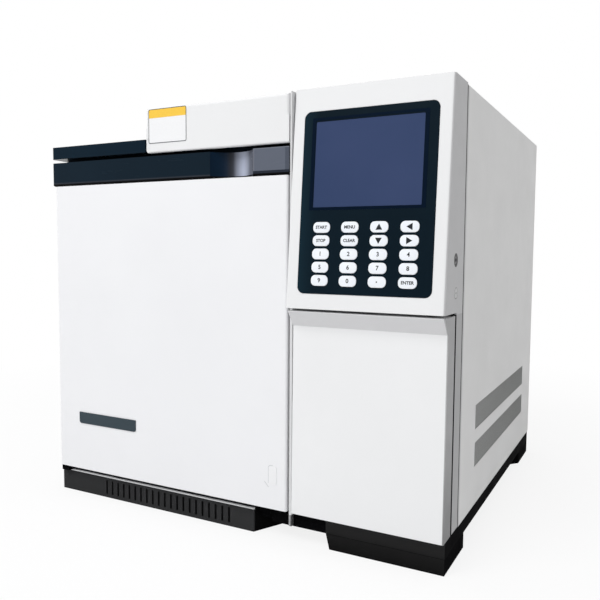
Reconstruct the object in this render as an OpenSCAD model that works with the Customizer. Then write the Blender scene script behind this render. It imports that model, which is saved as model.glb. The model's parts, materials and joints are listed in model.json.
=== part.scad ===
// Bench gas chromatograph: a column oven on the left behind a hinged door, a hinged
// cover over the injector and the detector, and a right-hand column that carries the
// operator panel above a hinged door to the gas controls.
// X runs to the right, Y to the back and Z up; the origin is on the bench, under the middle.

/* [Overall size] */
// Width over the side covers
body_w = 542; // [536:1:560]
// Depth from the operator panel's lower edge to the tips of the gas fittings
body_d = 542; // [536:1:560]
// Height from the bench to the top of the right-hand column
body_h = 506; // [500:0.5:514]

/* [Base] */
// Height of the feet under the base pan
foot_h = 17.5; // [14:0.5:20]
// Height of the base pan's walls
pan_h = 17.5; // [17.5:0.5:18]
// Number of air slots in the front plinth
slot_count = 21; // [9:1:23]
// Distance between the plinth's air slots
slot_pitch = 9.8; // [8:0.1:10]

/* [Right-hand column] */
// Width of the column
column_w = 176.4; // [174:0.2:180]
// Height at which the operator panel starts
panel_z = 272.4; // [270:0.2:275]
// Angle by which the operator panel leans back, in degrees
panel_lean = 4.8; // [4:0.1:5.5]
// How far the lower door's finger lip stands out
lip_out = 11.7; // [8:0.1:12.5]

/* [Operator panel] */
// Width of the dark bezel
bezel_w = 148.5; // [146:0.5:152]
// Height of the dark bezel
bezel_h = 194.4; // [190:0.2:198]
// Width of the display's window
screen_w = 120; // [100:1:124]
// Height of the display's window
screen_h = 92; // [76:1:94]
// Width of a key
key_w = 19.6; // [16:0.1:22]
// Height of a key
key_h = 11.4; // [9:0.1:11.8]
// Distance between key columns
key_pitch_x = 32.5; // [26:0.1:33]
// Distance between key rows
key_pitch_z = 14.05; // [13.8:0.05:14.4]
// Travel of a key when it is pressed
key_travel = 1; // [0.5:0.1:1.1]

/* [Oven] */
// Width of the oven cavity
cavity_w = 280; // [260:1:284]
// Height of the oven cavity
cavity_h = 288; // [270:1:290]
// Depth of the oven cavity
cavity_d = 240; // [225:1:250]
// Number of blades on the oven fan
fan_blades = 10; // [6:1:12]

/* [Oven door] */
// Height of the dark trim along the top of the oven door
trim_h = 30.6; // [28:0.2:31]
// Width of the finger scoop in the trim
scoop_w = 59; // [50:1:62]
// Depth of the finger scoop in the trim
scoop_d = 15.5; // [10:0.5:16]

/* [Top] */
// Thickness of the dark top deck
deck_t = 15.7; // [14:0.1:17]
// Width of the cover over the injector and the detector
cover_w = 200; // [190:1:210]
// Depth of that cover
cover_d = 330; // [310:5:340]

/* [Side vents] */
// Length of a vent field in the right-hand cover
vent_len = 309; // [280:1:330]
// Height of a vent field
vent_h = 28.7; // [22:0.1:30]
// Number of slots in a vent field
vent_slots = 68; // [30:1:70]

/* [Hidden] */
$fn = 48;
// Sheet, moulding and clearance sizes
sheet = 1.5;
wall = 2.5;
fit = 0.05;
// Outline of the body
xl = -body_w / 2;
xr = body_w / 2;
panel_out = 12.9;
fitting_out = 22;
front_y = -body_d / 2 + panel_out;
rear_y = body_d / 2 - fitting_out;
inner_rear = rear_y - sheet - 0.2;
base_z = foot_h + pan_h;
pan_floor = foot_h + 2;
// The seam between the oven side and the column
part_x = xr - column_w - 2.6;
part_t = 2;
col_x = xr - column_w;
frame_y = front_y + 54;
cover_y0 = frame_y + 1.5;
// Oven door and its hinge axis
door_x0 = xl + 6;
door_x1 = part_x - 2.3;
door_z0 = base_z + 1.5;
door_t = 20;
trim_z1 = body_h - 60;
trim_z0 = trim_z1 - trim_h;
door_z1 = trim_z0 - 0.4;
door_pivot = [xl + 11, front_y + 6.5];
pin_r = 2.5;
arm_r = 3;
// Oven box: the sealing face stands behind the door
ring_y = front_y + 25;
cavity_x0 = (door_x0 + door_x1 - cavity_w) / 2;
cavity_x1 = cavity_x0 + cavity_w;
cavity_z0 = base_z + 43;
cavity_z1 = cavity_z0 + cavity_h;
cavity_y1 = ring_y + cavity_d;
liner_t = 1;
ins_t = 36;
shell_t = 1.2;
oven_back = cavity_y1 + ins_t + liner_t;
oven_cx = (cavity_x0 + cavity_x1) / 2;
oven_cz = (cavity_z0 + cavity_z1) / 2;
// Exhaust duct from the oven's back to the rear panel
duct = [110, 50];
duct_x = oven_cx - 50;
duct_z = cavity_z1 - 40;
// Fan and motor
fan_r = 72;
fan_y0 = cavity_y1 - 46;
shaft_r = 4;
motor_r = 42;
// Top deck and injector cover
deck_z0 = trim_z1 + 5;
deck_z1 = deck_z0 + deck_t;
cover_z0 = deck_z0 - 1;
cover_z1 = body_h - 3;
cover_x1 = part_x - 1;
cover_x0 = cover_x1 - cover_w;
cover_axis = [front_y + cover_d + 7, deck_z1 + 5.4];
cover_pin_r = 2;
deck_open = [[cover_x0 + 14, front_y + 40], [cover_x1 - 16, front_y + cover_d - 40]];
inlet_x = [cover_x0 + 56, cover_x0 + 136];
inlet_y = front_y + 150;
// Lower door: its outline in Y and Z, and its hinge axis at the rear right
low_x0 = col_x + 2;
low_z0 = base_z + 1.4;
fascia_z0 = panel_z - 2.3;
low_z1 = panel_z - 5.1;
lip_h = 17.6;
face_back = 2;
low_depth = 25.5;
low_pivot = [xr - 3, front_y + low_depth - 2.6];
low_pin_r = 1.5;
strip_y = front_y + low_depth + 4.5;
// Operator panel, on a plane that leans back
fascia_t = 2.5;
bezel_x = (col_x + xr) / 2;
bezel_s = 14.5 + bezel_h / 2;
bezel_r = 7.6;
bezel_out = 0.4;
bezel_seat = 1.6;
screen_s = 14.5 + bezel_h - 11.2 - screen_h / 2;
key_x0 = bezel_x - 1.5 * key_pitch_x + 0.3;
key_s0 = 14.5 + 14.2;
key_r = 5;
key_rise = 1.3;
board_y = 8;
stem_end = board_y - 1.6 - key_travel;
// Gas controls behind the lower door
flow_y = front_y + 42;
flow_z = panel_z - 90;
flow_x = [for (i = [-1:1]) bezel_x - 3 + i * 50];
knob_r = 13;
stem_r = 3;
knob_y0 = flow_y - 23;
// Socket and blanking plug in the fascia's right-hand wall
socket_pos = [front_y + 23, panel_z + 51.6];
plug_pos = [front_y + 26, panel_z + 18];
// Rear panel
flap_z1 = duct_z + duct[1] / 2 + 5;
flap_axis = [rear_y + 3.5, flap_z1 + 4];
fitting_x = [for (i = [0:2]) col_x + 45 + i * 32];
fitting_z = body_h - 70;
thread_r = 3.95;
inlet_c = [xr - 62, base_z + 50];
rocker_c = [xr - 26, base_z + 50];
rocker_tilt = 8;

STATIC_NODES = ["base_pan", "front_plinth", "feet", "left_cover", "right_cover", "rear_panel",
    "centre_partition", "column_fascia", "operator_bezel", "display_screen", "exhaust_duct",
    "oven_shell", "oven_insulation", "oven_liner", "fan_baffle", "heater_coil", "fan_motor",
    "capillary_column", "injector", "detector", "top_deck", "hinge_brackets", "flow_panel",
    "flow_valves", "electronics", "side_fittings", "rear_fittings", "power_inlet"];
MOVING_NODES = ["oven_door_skin", "oven_door_trim", "oven_door_plug", "oven_door_gasket",
    "lower_door", "injector_cover", "oven_fan", "exhaust_flap", "power_switch"];
KNOB_NODES = ["flow_knob_1", "flow_knob_2", "flow_knob_3"];
KEY_NODES = [for (i = [1:20]) str("key_", i)];

// ---------------------------------------------------------------- shared shapes

// A box from its lowest corner to its highest
module block(a, b) translate(a) cube(b - a);

// A rectangle with round corners, about its middle
module rrect(w, h, r) {
    square([w - 2 * r, h], center = true);
    square([w, h - 2 * r], center = true);
    for (sx = [-1, 1], sz = [-1, 1])
        translate([sx * (w / 2 - r), sz * (h / 2 - r)]) circle(r);
}

// A flat shape drawn in X and Z, made solid from y0 to y1
module across(y0, y1) translate([0, y1, 0]) rotate([90, 0, 0]) linear_extrude(y1 - y0) children();

// A profile drawn in Y and Z, made solid from x0 to x1
module along_x(x0, x1) translate([x0, 0, 0]) rotate([90, 0, 90]) linear_extrude(x1 - x0) children();

// A cylinder along X or Y
module rod_x(x0, x1, y, z, r) translate([x0, y, z]) rotate([0, 90, 0]) cylinder(r = r, h = x1 - x0);
module rod_y(x, y0, y1, z, r) translate([x, y0, z]) rotate([-90, 0, 0]) cylinder(r = r, h = y1 - y0);

// The operator panel's own frame: Z runs up the panel and Y into it
module on_panel() translate([0, front_y - panel_out, panel_z]) rotate([-panel_lean, 0, 0]) children();

// A rounded plate in that frame, from depth y0 to depth y1
module panel_plate(x, s, w, h, r, y0, y1) translate([x, 0, s]) across(y0, y1) rrect(w, h, r);

// ---------------------------------------------------------------- base

// The pan's outline, drawn in by t on every side; its front steps back behind the plinth
module pan_outline(t) polygon([
    [xl + 1 + t, front_y + 18 + t], [part_x - 26 + t, front_y + 18 + t],
    [part_x - 26 + t, front_y + 10 + t], [xr - 1 - t, front_y + 10 + t],
    [xr - 1 - t, rear_y - 2 - t], [xl + 1 + t, rear_y - 2 - t]]);

module base_pan() color("#1a1b1d") {
    difference() {
        translate([0, 0, foot_h]) linear_extrude(pan_h) pan_outline(0);
        translate([0, 0, pan_floor]) linear_extrude(pan_h) pan_outline(2);
        // air slots in the floor
        for (i = [0:11], y = [front_y + 90, front_y + 300])
            translate([cavity_x0 + 10 + i * 22, y, foot_h - 1]) cube([6, 70, 4]);
    }
    // channels that carry the oven box
    for (y = [front_y + 60, front_y + 260])
        difference() {
            block([cavity_x0 - 25, y, pan_floor], [cavity_x1 + 25, y + 18, base_z + 3]);
            block([cavity_x0 - 26, y + 2, pan_floor + 2], [cavity_x1 + 26, y + 16, base_z + 1]);
        }
}

// A folded skirt with vertical air slots; its right-hand end runs back at an angle
plinth_y = front_y + 9.4;
plinth_h = base_z - 6.4;
plinth_x1 = part_x - 51;
module plinth_outline(t) polygon([
    [xl + 1 + t, plinth_y + t], [plinth_x1 - 0.6 * t, plinth_y + t],
    [plinth_x1 + 20.6 - t, plinth_y + 42], [plinth_x1 + 20.6 - t, plinth_y + 70],
    [xl + 1 + t, plinth_y + 70]]);

module front_plinth() color("#3a3b3d") {
    difference() {
        linear_extrude(plinth_h) plinth_outline(0);
        translate([0, 0, -1]) linear_extrude(plinth_h - sheet + 1) plinth_outline(sheet);
        // the part behind the front fold stays under the base pan
        block([xl - 1, front_y + 18, foot_h], [xr, front_y + 90, plinth_h + 1]);
        block([xl - 1, plinth_y + 60, -1], [xr, front_y + 90, plinth_h + 1]);
        for (i = [0:slot_count - 1])
            translate([plinth_x1 - 35 - (slot_count - 1 - i) * slot_pitch, 0, plinth_h / 2 - 0.5])
                across(plinth_y - 1, plinth_y + sheet + 1) rrect(3, 19.2, 1);
    }
    // dust screen behind the slots
    block([xl + 9, plinth_y + 5, 2], [plinth_x1 - 4, plinth_y + 6, plinth_h - 0.2]);
}

module rear_foot() difference() {
    linear_extrude(foot_h) polygon([
        [xr - 131, front_y + 431], [xr - 11, front_y + 419], [xr - 1, front_y + 431],
        [xr - 1, front_y + 505], [xr - 131, front_y + 505]]);
    block([xr - 122, front_y + 440, 3], [xr - 10, front_y + 496, foot_h - 3]);
}

module feet() color("#222326") {
    // front foot, with a sloping inner end
    across(plinth_y, front_y + 87) polygon([
        [xr - 131.2, 0], [xr - 1, 0], [xr - 1, foot_h], [xr - 135.6, foot_h]]);
    rear_foot();
    mirror([1, 0, 0]) rear_foot();
}

// ---------------------------------------------------------------- covers and panels

module left_cover() color("#e9ebee") {
    block([xl, ring_y + 1.7, base_z], [xl + sheet, inner_rear, deck_z0]);
    for (z = [base_z, deck_z0 - sheet])
        block([xl + sheet, ring_y + 1.7, z], [xl + 14, inner_rear, z + sheet]);
}

// One field of upright slots, let into the cover's face
module vent_field(z) {
    y0 = front_y + 126;
    pitch = vent_len / vent_slots;
    block([xr - 0.6, y0, z], [xr + 1, y0 + vent_len, z + vent_h]);
    for (i = [0:vent_slots - 1])
        block([xr - sheet - 1, y0 + (i + 0.24) * pitch, z + 1.2],
              [xr, y0 + (i + 0.76) * pitch, z + vent_h - 1.2]);
}

module right_cover() color("#dfe1e4") difference() {
    across(cover_y0, inner_rear) difference() {
        union() {
            translate([part_x, base_z]) square([xr - part_x - 3, body_h - base_z]);
            translate([part_x, base_z]) square([xr - part_x, body_h - base_z - 3]);
            translate([xr - 3, body_h - 3]) circle(3);
        }
        translate([part_x - 1, base_z + sheet])
            square([xr - part_x + 1 - sheet, body_h - base_z - 2 * sheet]);
        translate([part_x - 1, base_z - 1]) square([xr - part_x - 14, 3]);
    }
    vent_field(base_z + 46.4);
    vent_field(base_z + 91.1);
}

module rear_panel() color("#d6d8db") difference() {
    across(rear_y - sheet, rear_y) difference() {
        union() {
            translate([xl + 1, base_z]) square([body_w - 2, deck_z0 - base_z]);
            translate([part_x, base_z]) square([xr - 1 - part_x, body_h - sheet - base_z]);
        }
        translate([duct_x, duct_z]) square(duct - [4, 4], center = true);
        for (x = fitting_x) translate([x, fitting_z]) circle(5);
        translate(inlet_c) square([28, 48], center = true);
        translate(rocker_c) square([14, 22], center = true);
        // cooling holes for the electronics and for the fan motor
        for (i = [0:8], j = [0:5]) translate([xr - 130 + i * 10, base_z + 210 + j * 10]) circle(3);
        for (i = [0:11]) translate([oven_cx - 60.5 + i * 11, base_z + 130]) square([5, 60]);
    }
}

// The wall between the oven side and the column; its front fold shows between the doors
module centre_partition() color("#e6e8ea") {
    block([part_x, front_y + 8, base_z + 0.2], [part_x + part_t, inner_rear, body_h - sheet]);
    block([part_x, front_y + 12.2, pan_floor], [part_x + part_t, rear_y - 4.2, base_z + 0.2]);
    block([part_x, front_y + 2.5, base_z - 15], [part_x + 3.2, front_y + 8, fascia_z0 - 1]);
    block([part_x, front_y + 1, fascia_z0 - 1], [part_x + part_t, front_y + 8, body_h - sheet]);
    // ledge under the top deck
    block([part_x - 12, ring_y + 2, deck_z0 - sheet], [part_x, inner_rear, deck_z0]);
}

// ---------------------------------------------------------------- operator panel

// The fascia's outline, drawn in by t: a prism that leans back, cut level at both ends
module fascia_solid(t, back) intersection() {
    on_panel() translate([(col_x + xr) / 2, 60 + t, -40]) linear_extrude(body_h - panel_z + 80)
        rrect(column_w - 2 * t, 120, 3 - t / 2);
    block([col_x + t, front_y - 20, fascia_z0 + t], [xr - t, back, body_h - t]);
}

module column_fascia() color("#f1f2f4") {
    difference() {
        fascia_solid(0, frame_y);
        fascia_solid(fascia_t, frame_y + 1);
        on_panel() {
            panel_plate(bezel_x, bezel_s, bezel_w + 0.4, bezel_h + 0.4, bezel_r, -2, bezel_seat);
            panel_plate(bezel_x, bezel_s, bezel_w - 12, bezel_h - 12, 4, 0, 6);
        }
        rod_x(xr - 5, xr + 1, socket_pos[0], socket_pos[1], 5.2);
        rod_x(xr - 1.2, xr + 1, socket_pos[0], socket_pos[1], 7.1);
        rod_x(xr - 5, xr + 1, plug_pos[0], plug_pos[1], 4.1);
        rod_x(xr - 0.8, xr + 1, plug_pos[0], plug_pos[1], 6.1);
    }
    // side strip beside the lower door, with a fold at its front edge
    block([xr - sheet, strip_y, base_z + 1.2], [xr, frame_y, panel_z]);
    block([xr - 9, strip_y, base_z + 1.2], [xr - sheet, strip_y + sheet, panel_z]);
}

function key_x(i) = key_x0 + (i % 4) * key_pitch_x;
function key_s(i) = key_s0 + (4 - floor(i / 4)) * key_pitch_z;

module operator_bezel() color("#14202e") on_panel() difference() {
    panel_plate(bezel_x, bezel_s, bezel_w, bezel_h, bezel_r, -bezel_out, bezel_seat);
    panel_plate(bezel_x, screen_s, screen_w, screen_h, 1.5, -2, 3);
    for (i = [0:19])
        panel_plate(key_x(i), key_s(i), key_w + 0.6, key_h + 0.6, key_r + 0.3, -2, 3);
}

module display_screen() color("#3c4a70") on_panel() {
    panel_plate(bezel_x, screen_s, screen_w - 0.4, screen_h - 0.4, 1.3, -0.1, bezel_seat);
    panel_plate(bezel_x, screen_s, screen_w + 6, screen_h + 6, 2, bezel_seat, 3.6);
}

// The board behind the operator panel, with its switches and posts
module keypad_board() on_panel() {
    difference() {
        panel_plate(bezel_x, bezel_s, bezel_w + 6, bezel_h - 6, 2, board_y, board_y + 1.6);
        for (sx = [-1, 1], sz = [-1, 1])
            rod_y(bezel_x + sx * (bezel_w / 2 - 1), 0, 20, bezel_s + sz * (bezel_h / 2 - 8), 1.5);
    }
    for (sx = [-1, 1], sz = [-1, 1])
        rod_y(bezel_x + sx * (bezel_w / 2 - 1), fascia_t, board_y, bezel_s + sz * (bezel_h / 2 - 14), 2.5);
    panel_plate(bezel_x, screen_s, screen_w + 6, screen_h + 6, 2, 3.6, board_y);
    for (i = [0:19]) rod_y(key_x(i), board_y - 1.4, board_y, key_s(i), 4);
}

// A key: a crowned cap, a flange that the bezel keeps in, and a stem over its switch
module key(i) color("#eef0f4") on_panel() {
    intersection() {
        panel_plate(key_x(i), key_s(i), key_w, key_h, key_r, -key_rise - 1, 2.2);
        translate([key_x(i), 60 - key_rise, key_s(i)]) sphere(r = 60, $fn = 240);
    }
    panel_plate(key_x(i), key_s(i), key_w + 1.6, key_h + 1.6, key_r + 0.8, 2.2, 3);
    rod_y(key_x(i), 3, stem_end, key_s(i), 3.5);
}

// ---------------------------------------------------------------- oven

// Clearances through the oven's walls for the shaft, the duct and the two inlet tubes
module oven_ports() {
    rod_y(oven_cx, cavity_y1 - 2, oven_back + 2, oven_cz, shaft_r + 2);
    block([duct_x - duct[0] / 2 + shell_t, cavity_y1 - 2, duct_z - duct[1] / 2 + shell_t],
          [duct_x + duct[0] / 2 - shell_t, inner_rear + 1, duct_z + duct[1] / 2 - shell_t]);
    for (x = inlet_x) translate([x, inlet_y, cavity_z1 - 2]) cylinder(r = 6, h = 60);
}

shell_x0 = cavity_x0 - ins_t;
shell_x1 = cavity_x1 + ins_t;
shell_z0 = cavity_z0 - ins_t - 4;
shell_z1 = cavity_z1 + ins_t + 4;

module oven_shell() color("#b9bcc0") difference() {
    union() {
        block([shell_x0, ring_y, shell_z0], [shell_x1, oven_back, shell_z1]);
        block([door_x0 - 1.5, ring_y, base_z + 1], [door_x1 + 0.6, ring_y + sheet, deck_z0]);
    }
    block([shell_x0 + shell_t, ring_y + sheet, shell_z0 + shell_t],
          [shell_x1 - shell_t, oven_back - shell_t, shell_z1 - shell_t]);
    block([cavity_x0, ring_y - 1, cavity_z0], [cavity_x1, ring_y + 3, cavity_z1]);
    oven_ports();
}

// A flanged tube from the oven's back to the rear panel
module exhaust_duct() color("#b9bcc0") difference() {
    for (grow = [[0, inner_rear], [8, oven_back + shell_t]])
        block([duct_x - duct[0] / 2 - grow[0], oven_back, duct_z - duct[1] / 2 - grow[0]],
              [duct_x + duct[0] / 2 + grow[0], grow[1], duct_z + duct[1] / 2 + grow[0]]);
    oven_ports();
}

module oven_insulation() color("#efe9d8") difference() {
    block([shell_x0 + shell_t, ring_y + sheet, shell_z0 + shell_t],
          [shell_x1 - shell_t, oven_back - shell_t, shell_z1 - shell_t]);
    block([cavity_x0 - liner_t, ring_y, cavity_z0 - liner_t],
          [cavity_x1 + liner_t, cavity_y1 + liner_t, cavity_z1 + liner_t]);
    oven_ports();
}

module oven_liner() color("#a9adb1") difference() {
    block([cavity_x0 - liner_t, ring_y + sheet, cavity_z0 - liner_t],
          [cavity_x1 + liner_t, cavity_y1 + liner_t, cavity_z1 + liner_t]);
    block([cavity_x0, ring_y, cavity_z0], [cavity_x1, cavity_y1, cavity_z1]);
    oven_ports();
}

// A plate that shields the fan, with a round inlet, air slots and two hooks for the column
baffle_y = fan_y0 - 12;
hook_len = 74;
hook_r = 2.5;
hook_x = 40;
hook_z = oven_cz + 61;
module fan_baffle() color("#9fa3a8") {
    difference() {
        translate([oven_cx, 0, oven_cz]) across(baffle_y, baffle_y + 1.2)
            rrect(cavity_w - 30, cavity_h - 30, 12);
        rod_y(oven_cx, baffle_y - 1, baffle_y + 3, oven_cz, 52);
        for (a = [0:30:330]) translate([oven_cx, 0, oven_cz]) rotate([0, a, 0])
            translate([104, 0, 0]) across(baffle_y - 1, baffle_y + 3) rrect(8, 36, 3);
    }
    for (sx = [-1, 1], sz = [-1, 1])
        rod_y(oven_cx + sx * (cavity_w / 2 - 26), baffle_y + 1.2, cavity_y1,
              oven_cz + sz * (cavity_h / 2 - 26), 4);
    for (sx = [-1, 1]) {
        rod_y(oven_cx + sx * hook_x, baffle_y - hook_len, baffle_y, hook_z, hook_r);
        translate([oven_cx + sx * hook_x, baffle_y - hook_len + hook_r, hook_z])
            cylinder(r = hook_r - 0.4, h = 9);
    }
}

// Two turns of sheathed heater around the fan, on posts from the liner's back
module heater_coil() color("#8a8580") {
    for (y = [fan_y0 + 8, fan_y0 + 22]) translate([oven_cx, y, oven_cz]) rotate([90, 0, 0])
        rotate_extrude() translate([fan_r + 14, 0]) circle(3.5);
    for (a = [45:90:315]) rod_y(oven_cx + (fan_r + 14) * cos(a), fan_y0 + 8, cavity_y1,
        oven_cz + (fan_r + 14) * sin(a), 2);
}

module fan_motor() color("#4a4d52") {
    difference() {
        union() {
            rod_y(oven_cx, oven_back, oven_back + 6, oven_cz, motor_r + 8);
            rod_y(oven_cx, oven_back + 6, oven_back + 70, oven_cz, motor_r);
            for (a = [0:30:330]) translate([oven_cx, 0, oven_cz]) rotate([0, a, 0])
                block([motor_r - 2, oven_back + 12, -1.5], [motor_r + 5, oven_back + 62, 1.5]);
        }
        rod_y(oven_cx, oven_back - 1, oven_back + 56, oven_cz, shaft_r + fit);
    }
}

module oven_fan() color("#b0b3b7") translate([oven_cx, 0, oven_cz]) {
    rod_y(0, fan_y0 - 4, oven_back + 55, 0, shaft_r);
    rod_y(0, fan_y0 - 2, fan_y0 + 26, 0, 12);
    rod_y(0, fan_y0 + 24, fan_y0 + 26, 0, fan_r);
    for (i = [0:fan_blades - 1]) rotate([0, i * 360 / fan_blades, 0]) translate([10, 0, 0])
        rotate([0, 12, 0]) block([0, fan_y0 + 2, -0.75], [fan_r - 12, fan_y0 + 25, 0.75]);
}

// A fused-silica column wound on a wire cage, with its two ends led up to the inlets
coil_r = 82;
coil_y = baffle_y - 44;
coil_z = hook_z - sqrt(pow(coil_r - 4.75 - hook_r, 2) - hook_x * hook_x);
lead_r = 0.8;
module capillary_column() color("#a8742c") {
    // wound turns, side by side, around the spokes of the cage
    translate([oven_cx, coil_y, coil_z]) rotate([-90, 0, 0]) rotate_extrude() {
        translate([coil_r - 1, -7]) square([0.8, 14]);
        for (i = [0:5]) translate([coil_r, -6 + i * 2.4]) circle(r = 1.1, $fn = 16);
    }
    for (a = [30:60:330]) translate([oven_cx, 0, coil_z]) rotate([0, a, 0])
        block([coil_r - 5, coil_y - 10, -2], [coil_r - 0.8, coil_y + 10, 2]);
    // cage rims
    for (y = [coil_y - 10, coil_y + 10]) translate([oven_cx, y, coil_z]) rotate([90, 0, 0])
        rotate_extrude() translate([coil_r - 3, 0]) circle(r = 1.7, $fn = 16);
    // the two ends, led up from the winding and along under the roof to the inlets
    for (i = [0, 1]) {
        x0 = oven_cx + (2 * i - 1) * 28;
        dz = sqrt(coil_r * coil_r - 28 * 28);
        z1 = cavity_z1 - 20 + 5 * i;
        translate([x0, coil_y, coil_z + dz]) cylinder(r = lead_r, h = z1 + 1.2 - coil_z - dz);
        rod_x(min(x0, inlet_x[i]) - 1.2, max(x0, inlet_x[i]) + 1.2, coil_y, z1, lead_r);
        rod_y(inlet_x[i], inlet_y - 1.2, coil_y + 1.2, z1, lead_r);
        translate([inlet_x[i], inlet_y, z1 - 1.2]) cylinder(r = lead_r, h = cavity_z1 - 12.8 - z1);
    }
}

// ---------------------------------------------------------------- injector and detector

block_z0 = shell_z1;
block_z1 = deck_z0 + 6;
// A tube through the oven's roof under a heated block, shared by injector and detector
module inlet_base(x) {
    translate([x, inlet_y, cavity_z1 - 14]) cylinder(r = 4.5, h = block_z0 - cavity_z1 + 15);
    translate([x, inlet_y, cavity_z1 - 14]) cylinder(r = 7, h = 8, $fn = 6);
    block([x - 24, inlet_y - 24, block_z0], [x + 24, inlet_y + 24, block_z1]);
}

module injector() color("#c9b27a") {
    difference() {
        union() {
            inlet_base(inlet_x[1]);
            translate([inlet_x[1], inlet_y, block_z1]) {
                cylinder(r = 13, h = 18);
                translate([0, 0, 18]) difference() {
                    cylinder(r = 15, h = 12);
                    for (a = [0:20:340]) rotate([0, 0, a])
                        translate([15.6, 0, -1]) cylinder(r = 1.4, h = 14);
                }
                translate([0, 0, 30]) cylinder(r1 = 10, r2 = 5, h = 4);
            }
        }
        translate([inlet_x[1], inlet_y, block_z1 - 20]) cylinder(r = 1, h = 60);
    }
    // carrier gas stub
    rod_x(inlet_x[1] + 12, inlet_x[1] + 34, inlet_y, block_z1 + 9, 2);
}

module detector() color("#b7babd") {
    difference() {
        union() {
            inlet_base(inlet_x[0]);
            translate([inlet_x[0], inlet_y, block_z1]) {
                cylinder(r = 16, h = 14);
                translate([0, 0, 14]) cylinder(r = 12, h = 16);
                translate([0, 0, 30]) cylinder(r = 9, h = 4);
            }
        }
        translate([inlet_x[0], inlet_y, block_z1 + 10]) cylinder(r = 6, h = 40);
    }
    // signal and igniter stubs
    rod_x(inlet_x[0] - 34, inlet_x[0] - 11, inlet_y, block_z1 + 22, 4);
    rod_y(inlet_x[0], inlet_y + 11, inlet_y + 30, block_z1 + 22, 3);
}

// ---------------------------------------------------------------- top

// A moulded slab, open beneath, with a well for the injector and the detector
module top_deck() color("#1c2530") difference() {
    union() {
        translate([0, 0, deck_z0]) linear_extrude(deck_t) {
            translate([xl, front_y + 4]) square([part_x - 0.5 - xl, rear_y - front_y - 4]);
            translate([xl + 4, front_y]) square([cover_x0 - 1 - xl - 4, 8]);
            translate([xl + 4, front_y + 4]) circle(4);
        }
        // lip that closes the gap over the door trim
        block([cover_x0, ring_y - 3, deck_z0 - 3.6], [part_x - 1, ring_y - 0.3, deck_z0 + 1]);
        for (x = [cover_x0 + 26, cover_x1 - 35]) {
            block([x, cover_axis[0] - 5, deck_z1 - 1], [x + 9, cover_axis[0] + 5, cover_axis[1]]);
            rod_x(x, x + 9, cover_axis[0], cover_axis[1], 5);
        }
    }
    // notch in front, where the cover hangs over the edge
    block([cover_x0 - 1, front_y - 1, deck_z0 - 1], [part_x, front_y + 6, deck_z1 + 1]);
    block(concat(deck_open[0], deck_z0 - 1), concat(deck_open[1], deck_z1 + 1));
    for (x = [cover_x0 + 20, cover_x1 - 40])
        rod_x(x, x + 30, cover_axis[0], cover_axis[1], cover_pin_r);
    // hollows beneath
    for (i = [0:3])
        block([xl + 6 + i * 37, front_y + 34, deck_z0 - 1], [xl + 40 + i * 37, rear_y - 20, deck_z1 - 3]);
    block([cover_x0 + 14, front_y + cover_d - 30, deck_z0 - 1], [part_x - 14, rear_y - 20, deck_z1 - 3]);
}

// The cover's outline from the side: its front wall hangs over the deck's front edge
module cover_profile(t) {
    z = deck_z1 + 0.4 - 2 * t;
    h = cover_z1 - deck_z1 - 0.4 + t;
    translate([front_y + t, z]) square([cover_d - 2 * t, h - 3]);
    translate([front_y + 3, z]) square([cover_d - 3 - t, h]);
    translate([front_y + 3, cover_z1 - 3]) circle(3 - t);
}

module injector_cover() color("#f2f3f4") difference() {
    union() {
        difference() {
            union() {
                intersection() {
                    along_x(cover_x0, cover_x1) cover_profile(0);
                    translate([(cover_x0 + cover_x1) / 2, front_y + cover_d / 2, deck_z0])
                        linear_extrude(80) rrect(cover_w, cover_d, 4);
                }
                // front apron with a rounded lower corner
                across(front_y + 1, front_y + 5.4) {
                    translate([cover_x0 + 4, cover_z0]) square([cover_w - 4, 30]);
                    translate([cover_x0, cover_z0 + 4]) square([8, 26]);
                    translate([cover_x0 + 4, cover_z0 + 4]) circle(4);
                }
                along_x(cover_x0 + 4, cover_x1) {
                    translate([front_y, cover_z0 + 2]) square([4, 28]);
                    translate([front_y + 2, cover_z0 + 2]) circle(2);
                }
            }
            block([cover_x0 + wall, front_y + 5.4, deck_z0 - 2],
                  [cover_x1 - wall, front_y + cover_d - wall, cover_z1 - wall]);
            block([cover_x0 + wall, front_y + 2.5, deck_z1 + 4],
                  [cover_x1 - wall, front_y + 6, cover_z1 - wall]);
        }
        // stiffening ribs under the roof
        for (y = [front_y + 100, front_y + 220])
            block([cover_x0 + 1, y, cover_z1 - 6], [cover_x1 - 1, y + 2, cover_z1 - 1]);
        // hinge ears
        for (x = [cover_x0 + 36, cover_x1 - 42]) {
            block([x, front_y + cover_d - 1, cover_axis[1] - 4.5],
                  [x + 6, cover_axis[0], cover_axis[1] + 4.5]);
            rod_x(x, x + 6, cover_axis[0], cover_axis[1], 4.8);
        }
    }
    for (x = [cover_x0 + 30, cover_x1 - 50])
        rod_x(x, x + 20, cover_axis[0], cover_axis[1], cover_pin_r + fit);
}

// ---------------------------------------------------------------- oven door

module door_plan(t) {
    translate([door_x0 + t, front_y + 3]) square([door_x1 - door_x0 - 2 * t, door_t - 3]);
    translate([door_x0 + 3, front_y + t]) square([door_x1 - door_x0 - 6, door_t - t]);
    for (x = [door_x0 + 3, door_x1 - 3]) translate([x, front_y + 3]) circle(3 - t);
}

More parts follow.
